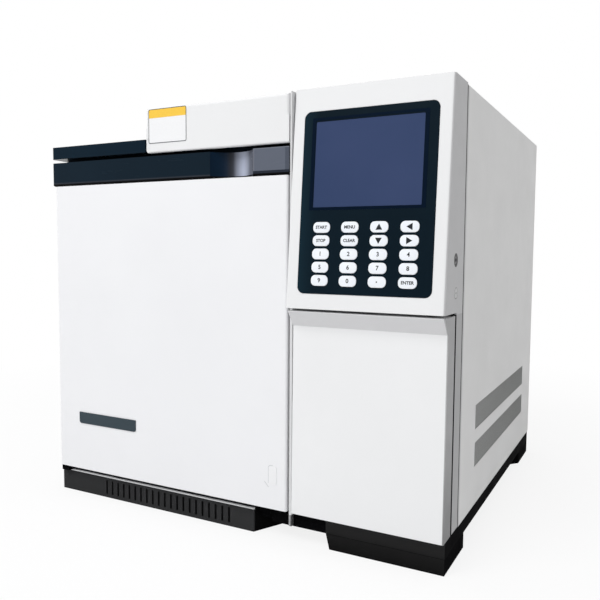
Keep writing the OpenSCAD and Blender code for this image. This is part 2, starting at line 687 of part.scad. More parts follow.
module oven_door_skin() color("#f3f4f6") difference() {
    union() {
        difference() {
            translate([0, 0, door_z0]) linear_extrude(door_z1 - door_z0) door_plan(0);
            translate([0, 1, door_z0 + sheet])
                linear_extrude(door_z1 - door_z0 - 2 * sheet) door_plan(sheet);
            block([door_x0 + sheet, front_y + 5, door_z0 + sheet],
                  [door_x1 - sheet, front_y + 30, door_z1 - sheet]);
        }
        // bush block for the lower hinge pin
        block([door_x0 + 1, front_y + 1.6, door_z0 + 1], [door_x0 + 12, front_y + 13, door_z0 + 18]);
    }
    translate([door_pivot[0], door_pivot[1], door_z0 - 1]) cylinder(r = pin_r + fit, h = 16);
}

// The dark trim is a ribbed moulding with a finger scoop near its free end
scoop_x = part_x - 76.5;
scoop_r = (scoop_w * scoop_w / 4 + scoop_d * scoop_d) / (2 * scoop_d);
trim_x1 = part_x - 0.8;
module trim_hollow(x0, x1) block([x0, front_y + 3, trim_z0 + 3], [x1, front_y + door_t + 1, trim_z1 - 3]);

module oven_door_trim() color("#1d2733") difference() {
    intersection() {
        translate([0, 0, trim_z0]) linear_extrude(trim_h) {
            translate([xl + 4, front_y]) square([trim_x1 - xl - 4, door_t]);
            translate([xl, front_y + 4]) square([20, 11]);
            translate([xl + 4, front_y + 4]) circle(4);
        }
        along_x(xl - 1, xr) polygon([
            [front_y, trim_z0 + 3.2], [front_y + 2.4, trim_z0], [front_y + door_t, trim_z0],
            [front_y + door_t, trim_z1], [front_y, trim_z1]]);
        across(front_y - 1, front_y + door_t + 1) union() {
            translate([xl + 4, trim_z0]) square([body_w, trim_h]);
            translate([xl, trim_z0 + 4]) square([8, trim_h - 4]);
            translate([xl + 4, trim_z0 + 4]) circle(4);
        }
    }
    translate([scoop_x, front_y + scoop_d - scoop_r, trim_z0 - 1])
        cylinder(r = scoop_r, h = trim_h + 2, $fn = 96);
    // the left-hand end clears the oven's face as the door turns
    block([xl - 1, front_y + 15, trim_z0 - 1], [xl + 8, front_y + door_t + 1, trim_z1 + 1]);
    // hollows between the ribs, open at the back
    for (i = [0:4])
        trim_hollow(xl + 28 + i * 42, xl + 67 + i * 42);
    trim_hollow(scoop_x + scoop_w / 2 + 6, trim_x1 - 3);
    // room for the upper hinge arm, and the bore for its pin
    block([xl - 1, front_y + 1.5, trim_z0 + 15],
          [door_pivot[0] + 5.5, front_y + door_t + 1, trim_z0 + 19.5]);
    translate([door_pivot[0], door_pivot[1], trim_z0 + 2]) cylinder(r = pin_r + fit, h = 14);
}

// The plug's tapered outline, drawn in by t; it fills the oven's mouth with room to swing
module plug_solid(t) {
    y0 = front_y + door_t;
    y1 = y0 + 24 - t;
    intersection() {
        translate([0, 0, cavity_z0]) linear_extrude(cavity_h) polygon([
            [cavity_x0 + 4 + t, y0 - 2], [cavity_x0 + 4 + t, y0], [cavity_x0 + 16 + t, y1],
            [cavity_x1 - 19 - t, y1], [cavity_x1 - 7 - t, y0], [cavity_x1 - 7 - t, y0 - 2]]);
        along_x(cavity_x0, cavity_x1) polygon([
            [y0 - 2, cavity_z0 + 4 + t], [y0, cavity_z0 + 4 + t], [y1, cavity_z0 + 16 + t],
            [y1, cavity_z1 - 16 - t], [y0, cavity_z1 - 4 - t], [y0 - 2, cavity_z1 - 4 - t]]);
    }
}

// The door's inner pan: a plate with a pressed plug, packed with insulation from the front
module oven_door_plug() color("#b3b6ba") difference() {
    union() {
        block([door_x0 + sheet, front_y + door_t - sheet, door_z0 + sheet],
              [door_x1 - sheet, front_y + door_t, door_z1 - sheet]);
        intersection() {
            plug_solid(0);
            block([door_x0, front_y + door_t - sheet, door_z0], [door_x1, front_y + 60, door_z1]);
        }
    }
    plug_solid(1.5);
}

module oven_door_gasket() color("#5b5f64") translate([oven_cx, 0, oven_cz])
    across(front_y + door_t, ring_y - 0.2) difference() {
        rrect(cavity_w + 28, cavity_h + 28, 14);
        rrect(cavity_w + 4, cavity_h + 4, 8);
    }

// ---------------------------------------------------------------- lower door

module lower_door() color("#f1f2f4") difference() {
    union() {
        difference() {
            along_x(low_x0, xr) translate([front_y, 0]) polygon([
                [0, low_z0], [low_depth, low_z0], [low_depth, low_z1], [-lip_out, low_z1],
                [face_back, low_z1 - lip_h]]);
            along_x(low_x0 + sheet, xr - sheet) translate([front_y, 0]) polygon([
                [sheet, low_z0 + sheet], [60, low_z0 + sheet], [60, low_z1 - sheet],
                [3.1 - lip_out, low_z1 - sheet], [face_back + sheet, low_z1 - lip_h + 0.5]]);
            block([low_x0 - 1, front_y + 10, low_z0 - 1], [low_x0 + 4, front_y + 40, low_z1 + 1]);
        }
        // ears around the hinge pins
        for (z = [low_z0, low_z1 - 4])
            block([xr - 10, front_y + low_depth - 8, z], [xr - 1, front_y + low_depth, z + 4]);
    }
    for (z = [low_z0 - 1, low_z1 - 5])
        translate([low_pivot[0], low_pivot[1], z]) cylinder(r = low_pin_r + fit, h = 6);
}

// ---------------------------------------------------------------- hinges

module hinge_brackets() color("#2b2d31") {
    // oven door, lower: a block in front of the base pan with an upright pin
    block([door_x0 + 0.5, front_y + 2, plinth_h + 0.4], [door_x0 + 13, front_y + 18, base_z + 0.6]);
    translate([door_pivot[0], door_pivot[1], base_z + 0.5]) cylinder(r = pin_r, h = 13);
    // oven door, upper: an arm from the oven's face with a pin beneath
    block([door_pivot[0] - arm_r, door_pivot[1], trim_z0 + 15.7],
          [door_pivot[0] + arm_r, ring_y, trim_z0 + 18.7]);
    translate([door_pivot[0], door_pivot[1], trim_z0 + 15.7]) cylinder(r = arm_r, h = 3);
    translate([door_pivot[0], door_pivot[1], trim_z0 + 3]) cylinder(r = pin_r, h = 13);
    // lower door: a tab on the base pan, and a boss under the fascia
    block([xr - 14, low_pivot[1] - 5, base_z], [xr - 1, low_pivot[1] + 5, base_z + 0.9]);
    block([xr - 14, low_pivot[1] - 5, base_z - 8], [xr - 3, low_pivot[1] + 5, base_z]);
    translate([low_pivot[0], low_pivot[1], base_z + 0.8]) cylinder(r = low_pin_r, h = 8);
    block([xr - 12, low_pivot[1] - 5, low_z1 + 0.8], [xr - 1, low_pivot[1] + 3, fascia_z0]);
    translate([low_pivot[0], low_pivot[1], low_z1 - 7]) cylinder(r = low_pin_r, h = 8);
    // injector cover: one pin through each knuckle and ear
    for (x = [cover_x0 + 26, cover_x1 - 42])
        rod_x(x, x + 16, cover_axis[0], cover_axis[1], cover_pin_r);
    // exhaust flap: an ear with a short pin at each end
    for (s = [-1, 1]) translate([duct_x, 0, 0]) {
        x = s * (duct[0] / 2 + 9);
        block([x - 1.5, rear_y, flap_axis[1] - 5], [x + 1.5, rear_y + 7, flap_axis[1] + 5]);
        rod_x(s > 0 ? x - 7 : x, s > 0 ? x : x + 7, flap_axis[0], flap_axis[1], 1);
    }
}

module exhaust_flap() color("#c9ccd0") difference() {
    union() {
        block([duct_x - duct[0] / 2 - 6, rear_y + 0.4, duct_z - duct[1] / 2 - 5],
              [duct_x + duct[0] / 2 + 6, rear_y + 1.9, flap_axis[1]]);
        rod_x(duct_x - duct[0] / 2 - 6, duct_x + duct[0] / 2 + 6, flap_axis[0], flap_axis[1], 2.6);
    }
    rod_x(duct_x - duct[0] / 2 - 10, duct_x + duct[0] / 2 + 10, flap_axis[0], flap_axis[1], 1 + fit);
}

// ---------------------------------------------------------------- gas controls

module flow_panel() color("#d9dce0") difference() {
    union() {
        block([col_x + 1, flow_y, base_z + 3], [xr - 10, flow_y + sheet, panel_z - 4]);
        for (z = [base_z + 3, panel_z - 5.5])
            block([col_x + 1, flow_y, z], [xr - 10, flow_y + 12, z + sheet]);
    }
    for (x = flow_x) rod_y(x, flow_y - 1, flow_y + 3, flow_z, 5);
}

module flow_valves() color("#c8a656") for (x = flow_x) {
    rod_y(x, flow_y - 18, flow_y - 4, flow_z, stem_r);
    rod_y(x, flow_y - 4, flow_y + sheet, flow_z, 4.9);
    translate([x, flow_y, flow_z]) rotate([90, 0, 0]) cylinder(r = 8, h = 3, $fn = 6);
    block([x - 13, flow_y + sheet, flow_z - 14], [x + 13, flow_y + 30, flow_z + 14]);
    for (s = [-1, 1]) translate([x, flow_y + 16, flow_z + (s > 0 ? 14 : -26)]) cylinder(r = 4, h = 12);
}

module flow_knob(i) color("#23262b") difference() {
    union() {
        rod_y(flow_x[i - 1], knob_y0, knob_y0 + 14, flow_z, knob_r);
        rod_y(flow_x[i - 1], knob_y0 + 14, knob_y0 + 18, flow_z, knob_r + 1.5);
    }
    for (a = [0:20:340]) translate([flow_x[i - 1], 0, flow_z]) rotate([0, a, 0])
        rod_y(knob_r + 0.7, knob_y0 - 1, knob_y0 + 12.5, 0, 1.5);
    // index line
    translate([flow_x[i - 1] - 0.6, knob_y0 - 1, flow_z + 3]) cube([1.2, 1.6, 8]);
    rod_y(flow_x[i - 1], knob_y0 + 4, knob_y0 + 19, flow_z, stem_r + fit);
}

// ---------------------------------------------------------------- electronics

module electronics() color("#2f6b46") {
    keypad_board();
    bx = part_x + part_t;
    // main board on posts, with a heat sink and capacitors
    block([bx + 8, front_y + 110, base_z + 30], [bx + 9.6, front_y + 370, base_z + 230]);
    for (y = [front_y + 118, front_y + 362], z = [base_z + 38, base_z + 222])
        rod_x(bx, bx + 8, y, z, 3);
    for (i = [0:7]) translate([bx + 9.6, front_y + 130 + i * 6, base_z + 140]) cube([24.4, 2.5, 70]);
    for (i = [0:3]) rod_x(bx + 9.6, bx + 36, front_y + 220 + i * 30, base_z + 170, 11);
    // transformer on the base pan
    translate([xr - 90, front_y + 200, pan_floor + 22]) rotate_extrude() translate([38, 0]) circle(22);
    translate([xr - 90, front_y + 200, pan_floor]) cylinder(r = 12, h = 44);
    // boxed power supply on the base pan
    block([xr - 150, front_y + 300, pan_floor], [xr - 40, front_y + 440, pan_floor + 50]);
}

// ---------------------------------------------------------------- sockets and fittings

socket_r = 1.8;
module side_fittings() color("#1a1b1e") {
    // jack socket: a collar let into the wall, with a nut behind it
    difference() {
        union() {
            rod_x(xr - 1.2, xr, socket_pos[0], socket_pos[1], 7);
            rod_x(xr - 14, xr - 1.2, socket_pos[0], socket_pos[1], 5);
            rod_x(xr - fascia_t - 2.5, xr - fascia_t, socket_pos[0], socket_pos[1], 7.5);
        }
        rod_x(xr - 13, xr + 1, socket_pos[0], socket_pos[1], socket_r);
        rod_x(xr - 0.7, xr + 1, socket_pos[0], socket_pos[1], 4);
    }
    // blanking plug in the spare hole
    rod_x(xr - 0.8, xr, plug_pos[0], plug_pos[1], 6);
    rod_x(xr - 6, xr - 0.8, plug_pos[0], plug_pos[1], 4);
}

module rear_fittings() color("#c7b073") for (x = fitting_x) difference() {
    union() {
        rod_y(x, rear_y - 16, rear_y + 8, fitting_z, 4.9);
        rod_y(x, rear_y + 8, rear_y + fitting_out, fitting_z, thread_r);
        for (y = [rear_y, rear_y - sheet - 5]) translate([x, y + 5, fitting_z]) rotate([90, 0, 0])
            cylinder(r = 8, h = 5, $fn = 6);
    }
    rod_y(x, rear_y - 17, rear_y + fitting_out + 1, fitting_z, 1.6);
}

module power_inlet() color("#17181a") {
    // mains inlet with three blades
    difference() {
        union() {
            translate([inlet_c[0], 0, inlet_c[1]]) across(rear_y, rear_y + 2.5) rrect(34, 54, 3);
            translate([inlet_c[0], 0, inlet_c[1]]) across(rear_y - 26, rear_y) rrect(27, 47, 2);
        }
        translate([inlet_c[0], 0, inlet_c[1] + 5]) across(rear_y - 16, rear_y + 4) rrect(18, 25, 2);
    }
    for (p = [[0, 11], [-4.5, 0], [4.5, 0]])
        block([inlet_c[0] + p[0] - 1, rear_y - 17, inlet_c[1] + p[1] - 1.6],
              [inlet_c[0] + p[0] + 1, rear_y - 3, inlet_c[1] + p[1] + 2]);
    // frame of the mains switch
    difference() {
        union() {
            translate([rocker_c[0], 0, rocker_c[1]]) across(rear_y, rear_y + 2) rrect(18, 26, 2);
            translate([rocker_c[0], 0, rocker_c[1]]) across(rear_y - 20, rear_y) rrect(13.6, 21.6, 1);
        }
        translate([rocker_c[0], 0, rocker_c[1]]) across(rear_y - 14, rear_y + 3) rrect(10.6, 18.6, 0.5);
        rod_x(rocker_c[0] - 6.2, rocker_c[0] + 6.2, rear_y - 3, rocker_c[1], 1 + fit);
    }
}

module power_switch() color("#b3202a") {
    rod_x(rocker_c[0] - 6, rocker_c[0] + 6, rear_y - 3, rocker_c[1], 1);
    along_x(rocker_c[0] - 4.9, rocker_c[0] + 4.9) translate([rear_y - 3, rocker_c[1]]) rotate(-rocker_tilt)
        polygon([[-4, -3], [-2, -7.5], [5.3, -7.3], [4.1, 0], [5.3, 7.3], [-2, 7.5], [-4, 3]]);
}

// ---------------------------------------------------------------- placement

base_pan();
front_plinth();
feet();
left_cover();
right_cover();
rear_panel();
centre_partition();
column_fascia();
operator_bezel();
display_screen();
exhaust_duct();
oven_shell();
oven_insulation();
oven_liner();
fan_baffle();
heater_coil();
fan_motor();
capillary_column();
injector();
detector();
top_deck();
hinge_brackets();
flow_panel();
flow_valves();
electronics();
side_fittings();
rear_fittings();
power_inlet();
oven_door_skin();
oven_door_trim();
oven_door_plug();
oven_door_gasket();
lower_door();
injector_cover();
oven_fan();
exhaust_flap();
power_switch();
for (i = [1:3]) flow_knob(i);
for (i = [1:20]) key(i - 1);
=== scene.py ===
"""Looks of the bench gas chromatograph: finishes, legends, labels, screws, tubing and the wound column.

The scene is in metres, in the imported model's own frame: X to the right, Y to the back, Z up.
Numbers multiplied by MM, and the limits of painted zones, are in millimetres.
"""
import json
import math

import bmesh
import bpy
from mathutils import Matrix, Vector


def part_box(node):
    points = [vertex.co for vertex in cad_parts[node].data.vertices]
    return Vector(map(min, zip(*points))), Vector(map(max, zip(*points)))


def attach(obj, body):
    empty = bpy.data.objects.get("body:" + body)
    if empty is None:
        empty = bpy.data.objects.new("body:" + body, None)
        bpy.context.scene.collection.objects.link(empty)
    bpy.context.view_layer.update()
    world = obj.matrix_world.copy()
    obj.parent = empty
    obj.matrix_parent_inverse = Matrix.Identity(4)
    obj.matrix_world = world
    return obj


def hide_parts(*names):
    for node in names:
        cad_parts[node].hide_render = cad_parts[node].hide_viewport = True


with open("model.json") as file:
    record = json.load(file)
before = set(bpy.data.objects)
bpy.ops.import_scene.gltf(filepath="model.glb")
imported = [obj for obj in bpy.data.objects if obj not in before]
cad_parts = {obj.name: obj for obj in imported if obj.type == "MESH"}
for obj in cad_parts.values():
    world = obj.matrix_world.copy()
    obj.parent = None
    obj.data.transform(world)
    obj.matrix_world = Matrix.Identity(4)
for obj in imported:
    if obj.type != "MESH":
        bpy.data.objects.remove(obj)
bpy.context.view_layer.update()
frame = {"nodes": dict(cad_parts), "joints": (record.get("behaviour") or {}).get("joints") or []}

MM = 0.001
NODES = frame["nodes"]
JOINTS = {joint["name"]: joint for joint in frame["joints"]}

# Places in millimetres: the doors' front, the right-hand side, joints between mouldings, fittings
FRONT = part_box("oven_door_skin")[0].y / MM
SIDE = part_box("column_fascia")[1].x / MM
COVER_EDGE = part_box("right_cover")[0].y / MM
FASCIA_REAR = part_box("column_fascia")[1].y / MM
DOOR_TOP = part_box("lower_door")[1].z / MM
TRIM_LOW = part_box("oven_door_trim")[0].z / MM
PAN_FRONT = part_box("base_pan")[0].y / MM
FOOT_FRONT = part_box("feet")[0].y / MM
DECK_LOW = 451
PLUG = (-232.1, 290.4)
SOCKET = (-235.1, 324)
OVEN = Vector((-87.65, -95.1, 222))
COIL = Vector((-87.65, -95.1, 219.9))
COIL_RADIUS = 82
DETECTOR_X, INJECTOR_X, INLET_Y = -53, 27, -108.1
SHELL_TOP = 406
REAR, DECK_TOP, BAFFLE_FRONT, FLOW_FRONT, PLUG_BACK = 249, 466.7, -51.1, -216.1, -214.1

X, Y, Z = 0, 1, 2
QUARTER = math.radians(90)
# How far a key's face is domed, and how thick its print is
KEY_CROWN = 60 * MM
INK = 0.12 * MM


# ---------------------------------------------------------------- nodes, objects and plain meshes

def add_node(tree, kind, inputs=None, **settings):
    """A new node; an input is linked if its value is another node's output, or else set to it."""
    node = tree.nodes.new(kind)
    for name, value in settings.items():
        setattr(node, name, value)
    for key, value in (inputs or {}).items():
        if isinstance(value, bpy.types.NodeSocket):
            tree.links.new(value, node.inputs[key])
        else:
            node.inputs[key].default_value = value
    return node


def maths(tree, operation, first, second):
    """The output of one operation on two numbers or outputs."""
    return add_node(tree, "ShaderNodeMath", {0: first, 1: second}, operation=operation).outputs[0]


def add_object(name, data):
    """A new object in the scene."""
    added = bpy.data.objects.new(name, data)
    bpy.context.scene.collection.objects.link(added)
    return added


def plain_mesh(holder):
    """What an object evaluates to, as a plain mesh; the object itself goes."""
    bpy.context.view_layer.update()
    mesh = bpy.data.meshes.new_from_object(holder.evaluated_get(bpy.context.evaluated_depsgraph_get()))
    bpy.data.objects.remove(holder)
    return mesh


def mesh_from(shape, name):
    """The mesh that a bmesh holds."""
    mesh = bpy.data.meshes.new(name)
    shape.to_mesh(mesh)
    shape.free()
    return mesh


def skinned(name, rings, closed=False):
    """A skin over rings of points: closed round on itself, or else capped at both ends."""
    shape = bmesh.new()
    rings = [[shape.verts.new(point) for point in ring] for ring in rings]
    sides = len(rings[0])
    others = rings[1:] + rings[:1] if closed else rings[1:]
    for ring, other in zip(rings, others):
        for k in range(sides):
            after = (k + 1) % sides
            shape.faces.new((ring[k], ring[after], other[after], other[k]))
    if not closed:
        shape.faces.new(rings[0][::-1])
        shape.faces.new(rings[-1])
    bmesh.ops.recalc_face_normals(shape, faces=shape.faces)
    return mesh_from(shape, name)


def joined(meshes):
    """Several meshes as one."""
    shape = bmesh.new()
    for mesh in meshes:
        shape.from_mesh(mesh)
    return mesh_from(shape, "joined")


def polar(radius, turn):
    """The flat point at a distance and an angle in radians from the origin."""
    return radius * Vector((math.cos(turn), math.sin(turn)))


def heading(places, index):
    """The direction of a path at one of its points."""
    return (places[min(index + 1, len(places) - 1)] - places[max(index - 1, 0)]).normalized()


def along_axes(right, up, out, origin):
    """The matrix that lays X, Y and Z along three directions, at origin."""
    return Matrix((*zip(right, up, out, origin), (0, 0, 0, 1)))


def facing_front(x, y, z):
    """Lays a flat mesh on a front face: its X stays, its Y becomes up, and its Z comes forward."""
    return Matrix.Translation((x, y, z)) @ Matrix.Rotation(QUARTER, 4, "X")


# ---------------------------------------------------------------- camera, light and floor

def place_camera():
    """A camera in front and to the right, just above the middle of the instrument."""
    right = (0.8842372, 0.46698619, 0.00696215)
    up = (-0.04066753, 0.06213634, 0.9972388)
    back = (0.46526415, -0.88207878, 0.07393444)
    data = bpy.data.cameras.new("camera")
    data.sensor_width = 36
    data.lens = 40.33
    camera = add_object("camera", data)
    camera.matrix_world = along_axes(right, up, back, (448.66 * MM, -908.1 * MM, 332.9 * MM))
    bpy.context.scene.camera = camera


def soft_lamp(name, place, aim, size, power):
    """An area lamp at place that faces aim."""
    data = bpy.data.lights.new(name, "AREA")
    data.shape = "RECTANGLE"
    data.size, data.size_y = size
    data.energy = power
    lamp = add_object(name, data)
    lamp.location = place
    lamp.rotation_euler = (Vector(aim) - Vector(place)).to_track_quat("-Z", "Y").to_euler()


def any_view_ray(tree):
    """1 for a ray from the camera, or one that a glossy or clear surface sends on."""
    rays = add_node(tree, "ShaderNodeLightPath").outputs
    result = rays["Is Camera Ray"]
    for kind in ("Is Glossy Ray", "Is Transmission Ray"):
        result = maths(tree, "MAXIMUM", result, rays[kind])
    return result


def light_studio():
    """One broad lamp in front and to the left, a weak one above, and an even pale surround."""
    soft_lamp("front_lamp", (-0.55, -2.2, 2.7), (0, 0, 0.2), (2.0, 1.6), 68)
    soft_lamp("top_lamp", (0.1, 0.4, 2.6), (0, 0, 0.3), (2.4, 2.4), 8)
    world = bpy.data.worlds.new("surround")
    bpy.context.scene.world = world
    world.use_nodes = True
    tree = world.node_tree
    shade = tree.nodes["Background"]
    shade.inputs["Color"].default_value = (1, 1, 1, 1)
    strength = add_node(tree, "ShaderNodeMapRange", {
        "Value": any_view_ray(tree), "To Min": 0.5, "To Max": 1.0})
    tree.links.new(strength.outputs[0], shade.inputs["Strength"])


def lay_floor():
    """A pale floor, nearly white to the camera, that still takes the object's shadow."""
    half, drop = 6.0, 0.3 * MM
    mesh = bpy.data.meshes.new("floor")
    corners = [(x * half, y * half, -drop) for x, y in ((-1, -1), (1, -1), (1, 1), (-1, 1))]
    mesh.from_pydata(corners, [], [(0, 1, 2, 3)])
    floor = add_object("floor", mesh)
    material = bpy.data.materials.new("pale_floor")
    material.use_nodes = True
    tree = material.node_tree
    tree.nodes.clear()
    place = add_node(tree, "ShaderNodeTexCoord").outputs["Object"]
    reach = add_node(tree, "ShaderNodeVectorMath", {0: place}, operation="LENGTH")
    fade = add_node(tree, "ShaderNodeMapRange", {
        "Value": reach.outputs["Value"], "From Min": 0.3, "From Max": 1.2, "To Min": 0.85, "To Max": 1.0})
    share = maths(tree, "MULTIPLY", any_view_ray(tree), fade.outputs[0])
    paint = add_node(tree, "ShaderNodeBsdfDiffuse", {"Color": (0.86, 0.86, 0.87, 1)})
    glow = add_node(tree, "ShaderNodeEmission")
    mix = add_node(tree, "ShaderNodeMixShader", {"Fac": share, 1: paint.outputs[0], 2: glow.outputs[0]})
    add_node(tree, "ShaderNodeOutputMaterial", {"Surface": mix.outputs[0]})
    mesh.materials.append(material)


# ---------------------------------------------------------------- finishes

class Finish:
    """A material under construction: a Principled surface and the node patterns that feed it."""

    def __init__(self, name, color, roughness, metallic=0.0, coat=0.0, specular=0.5):
        self.material = bpy.data.materials.new(name)
        self.material.use_nodes = True
        self.material.diffuse_color = (*color, 1)
        self.color, self.roughness = color, roughness
        self.tree = self.material.node_tree
        self.surface = self.tree.nodes["Principled BSDF"]
        self.place = self.node("TexCoord").outputs["Object"]
        self.relief = None
        for socket, value in {
                "Base Color": (*color, 1), "Roughness": roughness, "Metallic": metallic, "Coat Weight": coat,
                "Coat Roughness": 0.08, "Specular IOR Level": specular}.items():
            self.surface.inputs[socket].default_value = value

    def node(self, kind, inputs=None, **settings):
        return add_node(self.tree, "ShaderNode" + kind, inputs, **settings)

    def feed(self, output, socket):
        """Leads an output to one of the surface's sockets."""
        self.tree.links.new(output, self.surface.inputs[socket])
        return self

    def stretched(self, x, y, z):
        """Object coordinates scaled along each axis."""
        return self.node("Mapping", {"Vector": self.place, "Scale": (x, y, z)}).outputs[0]

    def noise(self, scale, detail=3.0, roughness=0.55, place=None):
        return self.node("TexNoise", {"Vector": place or self.place, "Scale": scale, "Detail": detail,
                                      "Roughness": roughness}).outputs["Fac"]

    def cells(self, scale, place=None):
        return self.node("TexVoronoi", {"Vector": place or self.place, "Scale": scale}).outputs["Distance"]

    def waves(self, scale, distortion, direction):
        return self.node("TexWave", {"Vector": self.place, "Scale": scale, "Distortion": distortion},
                         bands_direction=direction).outputs["Fac"]

    def ranged(self, value, low, high, from_low=0.3, from_high=0.7):
        return self.node("MapRange", {"Value": value, "From Min": from_low, "From Max": from_high,
                                      "To Min": low, "To Max": high}).outputs[0]

    def blended(self, share, first, second):
        """Base colour goes from first to second, three numbers or an output each, as share goes to 1."""
        ends = [end if isinstance(end, bpy.types.NodeSocket) else (*end, 1) for end in (first, second)]
        mix = self.node("Mix", {"Factor": share, "A": ends[0], "B": ends[1]}, data_type="RGBA")
        return self.feed(mix.outputs["Result"], "Base Color")

    def color_between(self, value, first, second):
        """Base colour runs from first to second as value goes from low to high."""
        return self.blended(self.ranged(value, 0, 1), first, second)

    def roughness_between(self, value, low, high):
        return self.feed(self.ranged(value, low, high), "Roughness")

    def inside(self, x=None, y=None, z=None):
        """1 between the limits given for an axis as (low, high) in millimetres, 0 elsewhere; None is open."""
        parts = self.node("SeparateXYZ", {0: self.place}).outputs
        result = None
        for part, limits in zip(parts, (x, y, z)):
            for limit, side in zip(limits or (), ("GREATER_THAN", "LESS_THAN")):
                if limit is not None:
                    test = maths(self.tree, side, part, limit * MM)
                    result = maths(self.tree, "MULTIPLY", result, test) if result else test
        return result

    def near_axis(self, y, z, radius):
        """1 closer than radius millimetres to the sideways line through y and z."""
        flat, axis = self.stretched(0, 1, 1), (0, y * MM, z * MM)
        gap = self.node("VectorMath", {0: flat, 1: axis}, operation="DISTANCE")
        return maths(self.tree, "LESS_THAN", gap.outputs["Value"], radius * MM)

    def painted_over(self, where, color):
        """Where the mask is 1, color (three numbers or a colour output) covers what is there."""
        return self.blended(where, self.surface.inputs["Base Color"].links[0].from_socket, color)

    def paint(self, color, **limits):
        """A colour over the zone between limits."""
        return self.painted_over(self.inside(**limits), color)

    def graded(self, axis, stops):
        """A colour that runs along an axis through stops of (millimetres, colour)."""
        first, last = stops[0][0], stops[-1][0]
        along = self.node("SeparateXYZ", {0: self.place}).outputs[axis]
        ramp = self.node("ValToRGB", {"Fac": self.ranged(along, 0, 1, first * MM, last * MM)})
        points = ramp.color_ramp.elements
        while len(points) < len(stops):
            points.new(0.5)
        for point, (place, color) in zip(points, stops):
            point.position = (place - first) / (last - first)
            point.color = (*color, 1)
        return ramp.outputs["Color"]

    def shaped(self, relief):
        self.relief = relief
        return self.feed(relief, "Normal")

    def soft_edges(self, radius):
        """Edges catch the light as if they were rounded to radius millimetres."""
        return self.shaped(self.node("Bevel", {"Radius": radius * MM}, samples=4).outputs[0])

    def bump(self, height, depth, strength=1.0):
        """Relief from a pattern, depth millimetres deep."""
        inputs = {"Height": height, "Distance": depth * MM, "Strength": strength}
        if self.relief:
            inputs["Normal"] = self.relief
        return self.shaped(self.node("Bump", inputs).outputs[0])

    def patterned(self, shade, mottle, dulled, spread, relief, depth, strength):
        """Patterns for the colour, down to shade, the roughness, spread to both sides, and the relief."""
        self.color_between(mottle, shade, self.color)
        self.roughness_between(dulled, self.roughness - spread[0], self.roughness + spread[1])
        return self.bump(relief, depth, strength)


def grey(level):
    """A very slightly cool grey."""
    return (level, level, level * 1.01)


def powder_coat(name, color, shade, roughness=0.42, specular=0.5):
    """Sprayed and baked paint on sheet: a fine orange-peel skin with a slight mottle."""
    coat = Finish(name, color, roughness, specular=specular).soft_edges(0.7)
    dulled = coat.noise(35, 3)
    return coat.patterned(shade, coat.noise(9, 4), dulled, (0.07, 0.09), coat.noise(1400, 2), 0.05, 0.5)


def moulded_plastic(name, color, shade, roughness=0.45, grain=1700, specular=0.3):
    """Injection moulding with a spark-eroded grain."""
    plastic = Finish(name, color, roughness, specular=specular).soft_edges(0.9)
    dulled, pits = plastic.noise(60, 4), plastic.cells(grain)
    return plastic.patterned(shade, plastic.noise(7, 4), dulled, (0.06, 0.08), pits, 0.04, 0.45)


def glossy_moulding(name, color, shade, roughness=0.2, specular=0.12):
    """Polished dark plastic with the faint swirl that wiping leaves."""
    plastic = Finish(name, color, roughness, specular=specular).soft_edges(0.8)
    wiped, ripples = plastic.noise(24, 6, 0.7, plastic.stretched(1, 3, 5)), plastic.noise(320, 2)
    return plastic.patterned(shade, plastic.noise(6, 3), wiped, (0.05, 0.1), ripples, 0.02, 0.25)


def brushed_metal(name, color, shade, stretch, roughness=0.34):
    """Sheet metal with long parallel scratches; stretch is small along the grain."""
    metal = Finish(name, color, roughness, metallic=1.0).soft_edges(0.5)
    lines = metal.noise(420, 6, 0.7, metal.stretched(*stretch))
    return metal.patterned(shade, lines, lines, (0.08, 0.12), lines, 0.02, 0.35)


def turned_metal(name, color, shade, roughness=0.26):
    """Machined bar with faint tool marks and tarnish."""
    metal = Finish(name, color, roughness, metallic=1.0).soft_edges(0.3)
    marks = metal.waves(700, 1.5, "Z")
    return metal.patterned(shade, metal.noise(38, 4), metal.noise(130, 3), (0.04, 0.08), marks, 0.008, 0.25)


def fibre_board(name, color, shade):
    """Matted ceramic fibre."""
    board = Finish(name, color, 0.9, specular=0.15)
    mat = board.noise(260, 6, 0.75)
    return board.color_between(mat, shade, color).bump(mat, 0.6, 0.9)


def braided_seal(name):
    """A tubular seal of braided glass fibre."""
    seal = Finish(name, (0.28, 0.29, 0.3), 0.8, specular=0.2)
    across = seal.waves(330, 1.2, "DIAGONAL")
    return seal.color_between(across, (0.16, 0.165, 0.17), (0.36, 0.37, 0.38)).bump(across, 0.25, 0.8)


def heat_tinted(name):
    """Sheathed heater that has run hot: straw and blue temper colours in patches."""
    sheath = Finish(name, (0.36, 0.3, 0.24), 0.38, metallic=1.0)
    sheath.color_between(sheath.noise(45, 4), (0.18, 0.19, 0.26), (0.46, 0.37, 0.26))
    sheath.roughness_between(sheath.noise(200, 4), 0.3, 0.5)
    return sheath.bump(sheath.noise(700, 3), 0.03, 0.4)


def display_glass(name):
    """The unlit blue window of the display: a smooth sheet with a faint dot raster under it."""
    glass = Finish(name, (0.036, 0.056, 0.128), 0.2, specular=0.06)
    glass.color_between(glass.noise(11, 2), (0.033, 0.053, 0.122), (0.039, 0.059, 0.134))
    return glass.bump(glass.waves(420, 0, "X"), 0.004, 0.2)


def overlay_film(name):
    """Hard-coated dark navy film over the operator panel."""
    film = Finish(name, (0.002, 0.0085, 0.0145), 0.3, specular=0.05).soft_edges(0.5)
    film.color_between(film.noise(8, 3), (0.0015, 0.007, 0.0125), (0.0028, 0.0098, 0.0168))
    film.roughness_between(film.noise(42, 5, 0.7), 0.27, 0.38)
    return film.bump(film.noise(2200, 2), 0.012, 0.4)


